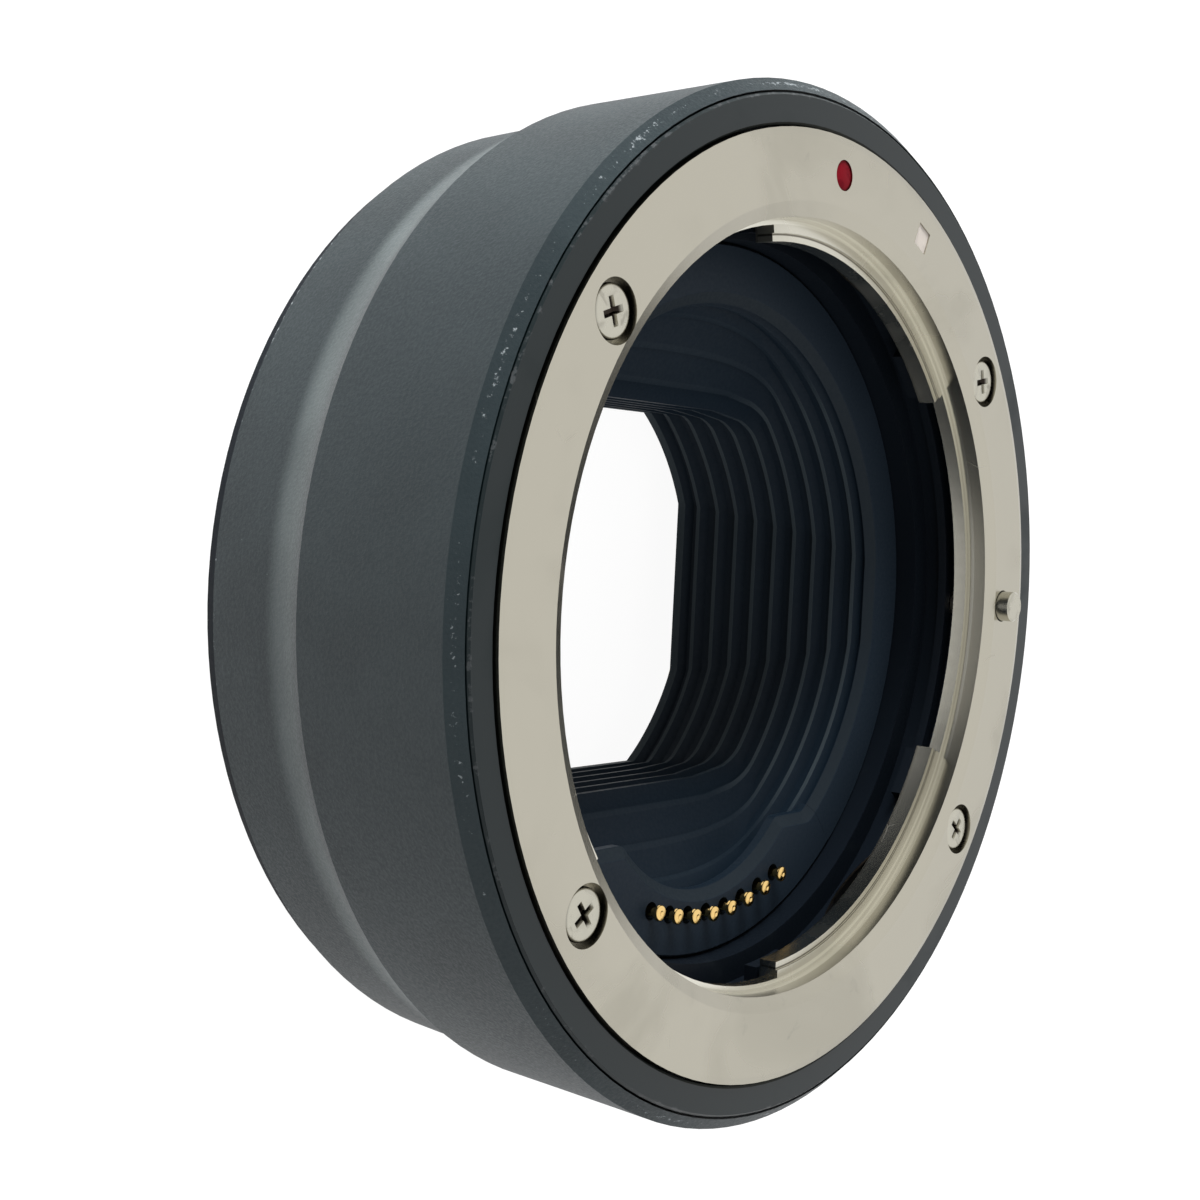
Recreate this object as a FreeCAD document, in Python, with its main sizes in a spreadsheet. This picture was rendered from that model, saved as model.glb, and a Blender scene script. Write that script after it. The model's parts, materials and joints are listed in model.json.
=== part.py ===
"""Lens mount adapter: a plain tube 24 mm long between a lens-side bayonet and a camera-side one.

The frame: +Z is the optical axis towards the lens, z = 0 is the camera-side flange plane,
+X points at the lock pin and its slider, and +Y at the red index. Lengths are in millimetres
and angles in degrees, measured from +X towards +Y.
"""
import FreeCAD, Part
import math
import os
import Sketcher

SHEET = "Sizes"

# Driving sizes: name, value and what it is
DRIVING = [
    ("flange_distance", 24.0, "camera-side flange face to lens-side flange face"),
    ("running_fit", 0.08, "radial gap round a shaft that slides"),
    ("seat_gap", 0.15, "gap between parts that only lie beside each other"),
    ("window_margin", 0.5, "angle left free at each end of a piece that sits in a window"),
    ("barrel_radius", 35.6, "outer cover, just behind the front chamfer"),
    ("barrel_bore", 33.0, "inside of the outer cover"),
    ("nose_radius", 34.75, "inner edge of the front chamfer"),
    ("nose_depth", 0.45, "inner edge of the chamfer below the lens flange"),
    ("chamfer_depth", 1.3, "outer edge of the chamfer below the lens flange"),
    ("step_radius", 35.3, "sharp rear edge of the wide front section"),
    ("step_height", 10.7, "height of that edge above the camera flange"),
    ("waist_radius", 34.35, "foot of the concave slope"),
    ("waist_height", 7.4, "height of that foot"),
    ("tail_radius", 34.05, "rear end of the outer cover"),
    ("lip_height", 20.6, "underside of the cover's inner front lip"),
    ("trim_seat", 22.2, "land that the trim ring lies on"),
    ("trim_inner", 32.55, "inside of the trim ring"),
    ("trim_outer", 34.6, "outside of the trim ring"),
    ("trim_depth", 0.3, "trim ring's face below the lens flange"),
    ("ring_radius", 32.4, "steel lens ring, outside"),
    ("ring_plate", 1.6, "steel lens ring, thickness of its plate"),
    ("ring_bevel_width", 0.45, "bevel round the steel ring's outer edge, width"),
    ("ring_bevel_depth", 0.1, "the same, depth"),
    ("throat_radius", 26.65, "lip of the throat"),
    ("throat_bevel_width", 1.0, "bevel of the throat's lip, width"),
    ("throat_bevel_depth", 0.5, "the same, depth"),
    ("lug_bore", 26.2, "bore below the lip that lets a lens's lugs pass"),
    ("lug_bore_depth", 2.0, "its ledge below the lens flange"),
    ("hub_radius", 27.9, "outside of the lens ring's hub"),
    ("hub_depth", 3.0, "bottom of the hub below the lens flange"),
    ("tab_radius", 25.1, "inner edge of the three tabs"),
    ("tab_step_radius", 25.65, "step along each tab's front"),
    ("tab_step", 0.15, "height of that step"),
    ("tab_depth", 2.0, "front of the tabs below the lens flange"),
    ("tab_thickness", 1.5, "tabs, front to rear"),
    ("tab_sweep", 61.0, "angle that each tab covers"),
    ("tab_one_angle", 69.5, "middle of the upper right tab"),
    ("tab_two_angle", -57.5, "middle of the lower right tab"),
    ("tab_three_angle", 186.5, "middle of the left tab"),
    ("lens_screw_circle", 29.5, "radius of the circle of lens ring screws"),
    ("lens_screw_angle", 37.0, "angle of those screws from the X axis"),
    ("screw_head_radius", 1.7, "lens ring screw, head"),
    ("screw_head_height", 0.8, "lens ring screw, head"),
    ("screw_shank_radius", 0.85, "lens ring screw, shank"),
    ("screw_length", 4.2, "lens ring screw, under its head"),
    ("counterbore_radius", 1.98, "recess round a lens ring screw's head"),
    ("counterbore_depth", 1.0, "the same, depth"),
    ("cross_width", 0.5, "arm of the cross recess"),
    ("cross_span", 2.1, "cross recess, tip to tip"),
    ("cross_depth", 0.5, "cross recess, depth"),
    ("index_circle", 29.85, "radius on which the red and the white index lie"),
    ("red_angle", 88.4, "angle of the red index"),
    ("red_radius", 1.05, "red index"),
    ("white_angle", 65.9, "angle of the white index"),
    ("white_side", 1.7, "white index, side of the square"),
    ("index_recess", 0.25, "depth of the index recesses"),
    ("index_fill", 0.15, "thickness of the paint in them"),
    ("thread_spare", 0.3, "depth of a lens ring screw's hole past its tip"),
    ("lock_circle", 28.93, "radius on which the lock pin stands"),
    ("lock_pin_radius", 1.2, "lock pin"),
    ("lock_pin_rise", 1.15, "lock pin above the lens flange"),
    ("lock_travel", 1.8, "travel of the lock pin and its slider"),
    ("carrier_top", 15.2, "top of the lock pin's carrier at rest"),
    ("carrier_thickness", 1.6, "carrier of the lock pin"),
    ("carrier_half_width", 2.0, "half the carrier's width"),
    ("pocket_floor", 9.4, "bottom of the carrier's pocket"),
    ("pocket_roof", 17.0, "top of the carrier's pocket"),
    ("pocket_half_width", 3.4, "half the pocket's width"),
    ("pocket_room", 0.5, "room between the lock pin and the pocket's inner wall"),
    ("boss_thickness", 1.4, "boss under the pocket, which carries the lock spring"),
    ("knob_face", 37.3, "outer face of the slider's knob"),
    ("knob_back", 35.9, "inner face of the knob"),
    ("knob_half_width", 4.4, "half the knob's width"),
    ("knob_height", 5.6, "knob along the optical axis"),
    ("stem_length", 0.6, "knob's stem, from the carrier's end to the knob's back"),
    ("knob_rib_count", 5.0, "grooves across the knob"),
    ("coil_radius", 0.8, "lock spring, middle of its wire"),
    ("coil_wire_radius", 0.16, "lock spring, wire"),
    ("coil_turns", 4.0, "lock spring, turns"),
    ("chassis_radius", 32.3, "main frame, outside"),
    ("chassis_collar", 32.9, "main frame's collar under the cover's lip"),
    ("chassis_wall", 1.4, "main frame, wall of its tube"),
    ("ledge_radius", 27.4, "upper step of the main frame's bore"),
    ("ledge_height", 17.8, "height of the ledge that carries the leaf springs"),
    ("spring_seat", 19.2, "height of the ledge that carries the spring ring"),
    ("floor_radius", 25.5, "lower step of the main frame's bore"),
    ("web_height", 15.0, "top of the web that carries the baffle"),
    ("web_thickness", 2.0, "web of the main frame"),
    ("web_bore", 22.6, "opening of the web"),
    ("rear_bore", 24.6, "opening of the main frame's rear wall"),
    ("rear_wall", 2.3, "main frame's rear wall"),
    ("mount_plate", 1.7, "camera ring, thickness of its plate"),
    ("camera_plate_radius", 30.4, "camera ring, outside of its plate"),
    ("neck_radius", 25.5, "camera ring, outside of its neck"),
    ("neck_bore", 23.9, "camera ring, bore"),
    ("neck_length", 4.6, "camera ring, neck behind the flange"),
    ("lug_radius", 26.9, "camera ring, outside of its lugs"),
    ("lug_front", 2.9, "front of the lugs behind the flange"),
    ("lug_rear", 4.4, "rear of the lugs behind the flange"),
    ("lug_sweep", 48.0, "angle that each lug covers"),
    ("camera_screw_circle", 28.2, "radius of the circle of camera ring screws"),
    ("camera_head_radius", 1.55, "camera ring screw, head"),
    ("camera_head_height", 0.9, "camera ring screw, cone of its head"),
    ("camera_shank_radius", 0.8, "camera ring screw, shank"),
    ("camera_screw_length", 3.6, "camera ring screw, overall"),
    ("notch_angle", 162.0, "angle of the notch for the camera's lock pin"),
    ("notch_radius", 1.2, "notch for the camera's lock pin"),
    ("notch_depth", 1.2, "the same, depth"),
    ("plate_inner", 30.6, "rear plate, inside"),
    ("plate_outer", 33.6, "rear plate, outside"),
    ("plate_depth", 0.15, "rear plate's face in front of the camera flange"),
    ("plate_edge", 0.45, "bevel of the rear plate's outer edge"),
    ("plate_screw_circle", 31.7, "radius of the circle of rear plate screws"),
    ("plate_head_radius", 0.95, "rear plate screw, head"),
    ("plate_head_height", 0.5, "rear plate screw, head"),
    ("plate_shank_radius", 0.5, "rear plate screw, shank"),
    ("plate_screw_length", 3.4, "rear plate screw, under its head"),
    ("baffle_front", 16.2, "front rim of the light baffle"),
    ("baffle_rear", -0.6, "rear edge of the light baffle"),
    ("baffle_flange_radius", 25.35, "flange of the light baffle"),
    ("rib_count", 9.0, "rib edges between the baffle's rear edge and its rim"),
    ("rib_depth", 0.9, "depth of the channels between the ribs"),
    ("baffle_wall", 0.8, "wall outside those channels"),
    ("rib_slope", 0.35, "share of the distance between two ribs on which the wall steps back"),
    ("gate_half_width", 17.0, "rear opening, half its width along X"),
    ("gate_half_height", 14.0, "rear opening, half its height along Y"),
    ("gate_corner", 18.5, "circle that clips the rear opening's corners"),
    ("mouth_radius", 20.7, "circle of the baffle's front mouth"),
    ("baffle_screw_circle", 24.0, "radius of the circle of baffle screws"),
    ("baffle_head_radius", 0.9, "baffle screw, head"),
    ("baffle_head_height", 0.6, "baffle screw, head"),
    ("baffle_shank_radius", 0.5, "baffle screw, shank"),
    ("baffle_screw_length", 2.8, "baffle screw, under its head"),
    ("contact_angle", -87.2, "middle of the front contacts"),
    ("contact_circle", 22.35, "radius on which the front contacts stand"),
    ("contact_pitch", 5.73, "angle between two front contacts"),
    ("contact_tip", 17.15, "tips of the front contacts at rest"),
    ("contact_foot", 12.9, "lower ends of the front contacts at rest"),
    ("contact_radius", 0.5, "front contact, ball and plunger"),
    ("contact_neck", 0.33, "front contact, neck behind the ball"),
    ("contact_neck_length", 0.6, "front contact, length of that neck and its cone"),
    ("block_face", 16.25, "front face of the contact block"),
    ("block_inner", 19.4, "inner edge of the contact block"),
    ("block_outer", 25.3, "outer edge of the contact block's face"),
    ("block_flange", 27.6, "outer edge of the contact block's flange"),
    ("block_flange_thickness", 1.2, "flange of the contact block"),
    ("block_sweep", 72.0, "angle that the contact block covers"),
    ("backing_thickness", 0.9, "plate behind the contact block"),
    ("backing_inner", 21.2, "inner edge of that plate"),
    ("backing_outer", 27.4, "outer edge of that plate"),
    ("ribbon_thickness", 0.2, "flexible circuit"),
    ("ribbon_overlap", 1.0, "how far a flexible circuit lies on the piece that it joins"),
    ("ribbon_sweep", 12.0, "angle that the flexible circuit covers"),
    ("ribbon_radius", 29.4, "outside of the flexible circuit's drop"),
    ("board_thickness", 0.8, "circuit board"),
    ("board_inner", 26.6, "circuit board, inside"),
    ("board_outer", 30.5, "circuit board, outside"),
    ("board_sweep", 140.0, "angle that the circuit board covers"),
    ("rear_block_inner", 21.0, "rear contact block, inside"),
    ("rear_block_outer", 23.75, "rear contact block, outside"),
    ("rear_block_flange", 26.4, "rear contact block, outside of its flange"),
    ("rear_block_face", -4.2, "rear contact block, its rear face"),
    ("rear_block_sweep", 64.0, "angle that the rear contact block covers"),
    ("pad_count", 12.0, "rear contact pads"),
    ("pad_pitch", 4.8, "angle between two rear pads"),
    ("pad_width", 1.1, "rear contact pad"),
    ("pad_length", 1.8, "rear contact pad, along the radius"),
    ("pad_thickness", 0.12, "rear contact pad"),
    ("shield_thickness", 1.2, "cover between the baffle's rear end and the camera ring's neck"),
    ("shield_screw_circle", 22.5, "radius of the circle of that cover's screws"),
    ("ear_radius", 1.5, "ears of the main frame for those screws"),
    ("shield_head_radius", 0.9, "cover screw, head"),
    ("shield_head_height", 0.5, "cover screw, head"),
    ("shield_shank_radius", 0.45, "cover screw, shank"),
    ("shield_screw_length", 2.9, "cover screw, under its head"),
    ("leaf_inner", 25.7, "leaf spring, inner edge"),
    ("leaf_outer", 27.2, "leaf spring, outer edge"),
    ("leaf_half_length", 7.0, "leaf spring, half its length"),
    ("leaf_bow", 0.9, "leaf spring, rise of its middle"),
    ("leaf_thickness", 0.2, "leaf spring"),
    ("spring_ring_inner", 26.9, "ring that holds the leaf springs, inside"),
    ("spring_ring_outer", 28.0, "the same, outside"),
    ("spring_ring_thickness", 0.7, "the same"),
    ("stop_inner", 25.8, "inner edge of the stops on that ring"),
    ("stop_height", 1.0, "stops on that ring"),
    ("stop_sweep", 9.0, "angle that each stop covers"),
]


class Size:
    """A length or an angle: its number, and the sheet expression that gives it."""

    def __init__(self, number, text):
        self.number = number
        self.text = text

    def __add__(self, other):
        other = as_size(other)
        return Size(self.number + other.number, "(%s + %s)" % (self.text, other.text))

    def __radd__(self, other):
        return as_size(other) + self

    def __sub__(self, other):
        other = as_size(other)
        return Size(self.number - other.number, "(%s - %s)" % (self.text, other.text))

    def __rsub__(self, other):
        return as_size(other) - self

    def __mul__(self, other):
        other = as_size(other)
        return Size(self.number * other.number, "(%s * %s)" % (self.text, other.text))

    def __rmul__(self, other):
        return as_size(other) * self

    def __truediv__(self, other):
        other = as_size(other)
        return Size(self.number / other.number, "(%s / %s)" % (self.text, other.text))

    def __neg__(self):
        return Size(-self.number, "(0 - %s)" % self.text)


def as_size(value):
    return value if isinstance(value, Size) else Size(float(value), repr(float(value)))


def cosine(angle):
    return Size(math.cos(math.radians(angle.number)), "cos(%s)" % angle.text)


def asin_of(share):
    return Size(math.degrees(math.asin(share.number)), "asin(%s)" % share.text)


def sine(angle):
    return Size(math.sin(math.radians(angle.number)), "sin(%s)" % angle.text)


class Sheet:
    """The document's spreadsheet: its cells are read as attributes, each one a Size."""

    def __init__(self, document):
        self.cells = document.addObject("Spreadsheet::Sheet", SHEET)
        for row, (name, value, meaning) in enumerate(DRIVING, start=1):
            self.cells.set("A%d" % row, name)
            self.cells.set("B%d" % row, repr(value))
            self.cells.set("C%d" % row, meaning)
            self.cells.setAlias("B%d" % row, name)
            setattr(self, name, Size(value, "%s.%s" % (SHEET, name)))


doc = FreeCAD.newDocument("lens_mount_adapter")
S = Sheet(doc)
doc.recompute()

# Heights that several pieces share
LENS_FLANGE = S.flange_distance
RING_SEAT = LENS_FLANGE - S.ring_plate
TAB_TOP = LENS_FLANGE - S.tab_depth
TAB_BOTTOM = TAB_TOP - S.tab_thickness
WEB_BOTTOM = S.web_height - S.web_thickness
REAR_WALL_TOP = S.mount_plate + S.rear_wall
BLOCK_BOTTOM = WEB_BOTTOM - S.block_flange_thickness
BACKING_BOTTOM = BLOCK_BOTTOM - S.backing_thickness
BOARD_TOP = REAR_WALL_TOP + S.board_thickness
ZERO = as_size(0)
PAST = as_size(1)  # how far a cutting tool reaches past the material

X_AXIS, Z_AXIS = FreeCAD.Vector(1, 0, 0), FreeCAD.Vector(0, 0, 1)
TABS = (S.tab_one_angle, S.tab_two_angle, S.tab_three_angle)
SIX_STOPS = [tab + side * (S.tab_sweep / 2 - S.stop_sweep / 2) for tab in TABS for side in (-1, 1)]


# Helpers that make one bound object each

def bind(thing, **sizes):
    """Binds properties of an object to the sheet."""
    for name, size in sizes.items():
        thing.setExpression(name, as_size(size).text)
    return thing


def place(thing, x=ZERO, y=ZERO, z=ZERO, turn=ZERO):
    """Places an object by sheet expressions, turned about Z."""
    thing.Placement.Rotation = FreeCAD.Rotation(Z_AXIS, as_size(turn).number or 1e-9)
    for path, size in (("Base.x", x), ("Base.y", y), ("Base.z", z), ("Rotation.Angle", turn)):
        if as_size(size).number or "Sizes" in as_size(size).text:
            thing.setExpression("Placement." + path, as_size(size).text)
    return thing


def around(thing, radius, angle, z=ZERO):
    """Places an object on a circle about the optical axis, turned with it."""
    return place(thing, radius * cosine(angle), radius * sine(angle), z, angle)


def cylinder(name, radius, height):
    return bind(doc.addObject("Part::Cylinder", name), Radius=radius, Height=height)


def box(name, low, high):
    """A box between two corners, each a triple of sizes."""
    solid = doc.addObject("Part::Box", name)
    bind(solid, Length=high[0] - low[0], Width=high[1] - low[1], Height=high[2] - low[2])
    return place(solid, *low)


def fuse(name, pieces):
    joined = doc.addObject("Part::MultiFuse", name)
    joined.Shapes = pieces
    joined.Refine = True
    return joined


def cut(name, base, tools):
    """The base less all of the tools."""
    result = doc.addObject("Part::Cut", name)
    result.Base = base
    result.Tool = tools[0] if len(tools) == 1 else fuse(name + "_tools", tools)
    return result


def fixed(name, shape):
    """A shape worked out in this file's own code."""
    solid = doc.addObject("Part::Feature", name)
    solid.Shape = shape
    return solid


def pin_point(sketch, geometry, end, x, y):
    """Ties one end of a sketch line to its place."""
    for size, kind, axis in ((x, "DistanceX", -2), (y, "DistanceY", -1)):
        if size.number == 0:
            sketch.addConstraint(Sketcher.Constraint("PointOnObject", geometry, end, axis))
            continue
        index = sketch.addConstraint(Sketcher.Constraint(kind, -1, 1, geometry, end, size.number))
        sketch.setExpression("Constraints[%d]" % index, size.text)


def arc_between(start, end, radius):
    """An arc that runs clockwise from start to end, with its centre right of the way."""
    chord = end - start
    half = chord.Length / 2
    right = FreeCAD.Vector(chord.y, -chord.x, 0).normalize()
    centre = (start + end) / 2 + right * math.sqrt(max(radius ** 2 - half ** 2, 0))
    circle = Part.Circle(centre, Z_AXIS, radius)
    angles = [math.atan2(p.y - centre.y, p.x - centre.x) for p in (end, start)]
    return Part.ArcOfCircle(circle, *angles)


def turned(name, outline, sweep=None, centre=None):
    """A body turned about the optical axis from an outline of (radius, height) points.

    A third entry on a point is the radius of an arc to the next one. A sweep under a full
    turn lies half each side of its centre angle.
    """
    body = doc.addObject("PartDesign::Body", name)
    plane = [f for f in body.Origin.OriginFeatures if f.Role == "XZ_Plane"][0]
    sketch = body.newObject("Sketcher::SketchObject", name + "_outline")
    sketch.AttachmentSupport = (plane, "")
    sketch.MapMode = "FlatFace"
    points = [(as_size(p[0]), as_size(p[1])) for p in outline]
    bends = [p[2] if len(p) > 2 else None for p in outline]
    spots = [FreeCAD.Vector(x.number, y.number, 0) for x, y in points]
    first_ends = []
    last_ends = []
    for i, spot in enumerate(spots):
        following = spots[(i + 1) % len(spots)]
        if bends[i] is None:
            geometry = sketch.addGeometry(Part.LineSegment(spot, following))
            first_ends.append((geometry, 1))
            last_ends.append((geometry, 2))
        else:
            geometry = sketch.addGeometry(arc_between(spot, following, bends[i].number))
            first_ends.append((geometry, 2))
            last_ends.append((geometry, 1))
    for i, (x, y) in enumerate(points):
        sketch.addConstraint(Sketcher.Constraint("Coincident", *last_ends[i - 1], *first_ends[i]))
        pin_point(sketch, *first_ends[i], x, y)
    for i, bend in enumerate(bends):
        if bend is not None:
            index = sketch.addConstraint(Sketcher.Constraint("Radius", first_ends[i][0], bend.number))
            sketch.setExpression("Constraints[%d]" % index, bend.text)
    revolve = body.newObject("PartDesign::Revolution", name + "_turn")
    revolve.Profile = sketch
    revolve.ReferenceAxis = (sketch, ["V_Axis"])
    if sweep is None:
        revolve.Angle = 360
    else:
        revolve.Midplane = True
        bind(revolve, Angle=sweep)
    body.Tip = revolve
    if centre is not None:
        place(body, turn=centre)
    return body


def rectangle(inner, outer, bottom, top):
    """The outline of a plain ring or sector."""
    return [(inner, bottom), (outer, bottom), (outer, top), (inner, top)]


def copies_around(name, source, radius, angles, z=ZERO):
    """One object that holds a copy of the source at each angle, as separate solids."""
    doc.recompute()
    shapes = []
    for angle in angles:
        shape = source.Shape.copy()
        shape.translate(FreeCAD.Vector(radius.number, 0, z.number))
        shape.rotate(FreeCAD.Vector(), Z_AXIS, as_size(angle).number)
        shapes.append(shape)
    return fixed(name, Part.makeCompound(shapes))


def holes_around(name, radius, height, circle, angles, z):
    """Cylinders for cutting a circle of holes."""
    return [around(cylinder("%s_%d" % (name, i + 1), radius, height), circle, angle, z)
            for i, angle in enumerate(angles)]


# Angles of the fasteners
LENS_SCREWS = [S.lens_screw_angle, 180 - S.lens_screw_angle, 180 + S.lens_screw_angle, -S.lens_screw_angle]
CAMERA_SCREWS = [as_size(angle) for angle in (45, 135, 225, 315)]
PLATE_SCREWS = [as_size(angle) for angle in (20, 110, 200, 290)]
BAFFLE_SCREWS = [as_size(angle) for angle in (20, 90, 160)]
SHIELD_SCREWS = [as_size(angle) for angle in (0, 90, 180)]
CAMERA_LUGS = [as_size(angle) for angle in (90, 210, 330)]
CONTACTS = [S.contact_angle + S.contact_pitch * (i - 3.5) for i in range(8)]
REAR_CONTACT_ANGLE = as_size(-90)


def make_outer_barrel():
    """Cover: wide front section, sharp step, concave slope, and a narrower rear section."""
    drop = S.step_radius - S.waist_radius
    run = S.step_height - S.waist_height
    slope = (drop * drop + run * run) / (2 * drop)
    shell = turned("barrel_shell", [
        (S.chassis_radius + S.running_fit, S.lip_height),
        (S.chassis_radius + S.running_fit, S.trim_seat),
        (S.nose_radius, S.trim_seat),
        (S.nose_radius, LENS_FLANGE - S.nose_depth),
        (S.barrel_radius, LENS_FLANGE - S.chamfer_depth),
        (S.step_radius, S.step_height),
        (S.waist_radius, S.waist_height),
        (S.tail_radius, S.mount_plate),
        (S.barrel_bore, S.mount_plate),
        (S.barrel_bore, S.lip_height),
    ])
    hollow = turned("barrel_slope", [
        (S.waist_radius, S.waist_height, slope),
        (S.step_radius, S.step_height),
        (S.waist_radius + slope, S.step_height),
        (S.waist_radius + slope, S.waist_height),
    ])
    room = 2 * S.seat_gap
    low = S.carrier_top - S.carrier_thickness - S.lock_travel
    slot = box("barrel_slot",
               (S.barrel_bore - PAST, -(S.carrier_half_width + room), low - room),
               (S.barrel_radius + PAST, S.carrier_half_width + room, S.carrier_top + room))
    return cut("outer_barrel", shell, [hollow, slot])


def make_front_trim_ring():
    """Smooth ring between the steel lens ring and the cover."""
    top = LENS_FLANGE - S.trim_depth
    edge = S.seat_gap
    return turned("front_trim_ring", [
        (S.trim_inner, S.trim_seat),
        (S.trim_outer, S.trim_seat),
        (S.trim_outer, top - edge),
        (S.trim_outer - edge, top),
        (S.trim_inner + edge, top),
        (S.trim_inner, top - edge),
    ])


def make_lens_mount_ring():
    """Steel bayonet ring: bevelled plate, stepped throat, and three stepped tabs."""
    bevel = LENS_FLANGE - S.throat_bevel_depth
    ledge = LENS_FLANGE - S.lug_bore_depth
    plate = turned("lens_ring_plate", [
        (S.lug_bore, LENS_FLANGE - S.hub_depth),
        (S.hub_radius, LENS_FLANGE - S.hub_depth),
        (S.hub_radius, RING_SEAT),
        (S.ring_radius, RING_SEAT),
        (S.ring_radius, LENS_FLANGE - S.ring_bevel_depth),
        (S.ring_radius - S.ring_bevel_width, LENS_FLANGE),
        (S.throat_radius + S.throat_bevel_width, LENS_FLANGE),
        (S.throat_radius, bevel),
        (S.throat_radius, ledge),
        (S.lug_bore, ledge),
    ])
    tabs = [turned("lens_ring_tab_%d" % (i + 1), [
        (S.tab_radius, TAB_BOTTOM),
        (S.hub_radius, TAB_BOTTOM),
        (S.hub_radius, TAB_TOP),
        (S.tab_step_radius, TAB_TOP),
        (S.tab_step_radius, TAB_TOP - S.tab_step),
        (S.tab_radius, TAB_TOP - S.tab_step),
    ], S.tab_sweep, angle) for i, angle in enumerate(TABS)]
    depth = LENS_FLANGE - TAB_BOTTOM
    tools = holes_around("lens_screw_head", S.counterbore_radius, S.counterbore_depth + PAST,
                         S.lens_screw_circle, LENS_SCREWS, LENS_FLANGE - S.counterbore_depth)
    tools += holes_around("lens_screw_hole", S.screw_shank_radius + S.running_fit, depth + PAST,
                          S.lens_screw_circle, LENS_SCREWS, TAB_BOTTOM - PAST / 2)
    tools += holes_around("lock_hole", S.lock_pin_radius + S.running_fit, depth + 2 * PAST,
                          S.lock_circle, [ZERO], TAB_BOTTOM - PAST)
    tools += holes_around("red_recess", S.red_radius, S.index_recess + PAST,
                          S.index_circle, [S.red_angle], LENS_FLANGE - S.index_recess)
    tools.append(index_square("white_recess", S.index_recess + PAST))
    return cut("lens_mount_ring", fuse("lens_ring_blank", [plate] + tabs), tools)


def index_square(name, height):
    """The white index, or its recess, with one side along the radius."""
    solid = bind(doc.addObject("Part::Box", name), Length=S.white_side, Width=S.white_side, Height=height)
    half = S.white_side / 2
    x = S.index_circle * cosine(S.white_angle) - half * cosine(S.white_angle) + half * sine(S.white_angle)
    y = S.index_circle * sine(S.white_angle) - half * sine(S.white_angle) - half * cosine(S.white_angle)
    return place(solid, x, y, LENS_FLANGE - S.index_recess, S.white_angle)


def make_red_index_dot():
    dot = around(cylinder("red_index_dot", S.red_radius, S.index_fill),
                 S.index_circle, S.red_angle, LENS_FLANGE - S.index_recess)
    return dot


def screw_blank(name, head_radius, head_height, shank_radius, length, crown):
    """A screw on its own axis, its head's underside at z = 0, with a slightly crowned head."""
    return turned(name, [
        (ZERO, -length),
        (shank_radius, -length),
        (shank_radius, ZERO),
        (head_radius, ZERO),
        (head_radius, head_height - crown),
        (head_radius - crown, head_height),
        (ZERO, head_height),
    ])


def cross_recess(name, top, span, width, depth):
    """Two crossed bars for cutting a cross recess from above."""
    half, arm = span / 2, width / 2
    return [box(name + "_x", (-half, -arm, top - depth), (half, arm, top + PAST)),
            box(name + "_y", (-arm, -half, top - depth), (arm, half, top + PAST))]


def make_lens_mount_screws():
    crown = S.screw_head_height / 4
    blank = screw_blank("lens_screw_blank", S.screw_head_radius, S.screw_head_height,
                        S.screw_shank_radius, S.screw_length, crown)
    one = cut("lens_screw", blank, cross_recess("lens_cross", S.screw_head_height, S.cross_span,
                                                S.cross_width, S.cross_depth))
    seat = LENS_FLANGE - S.counterbore_depth
    return copies_around("lens_mount_screws", one, S.lens_screw_circle, LENS_SCREWS, seat)


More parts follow.
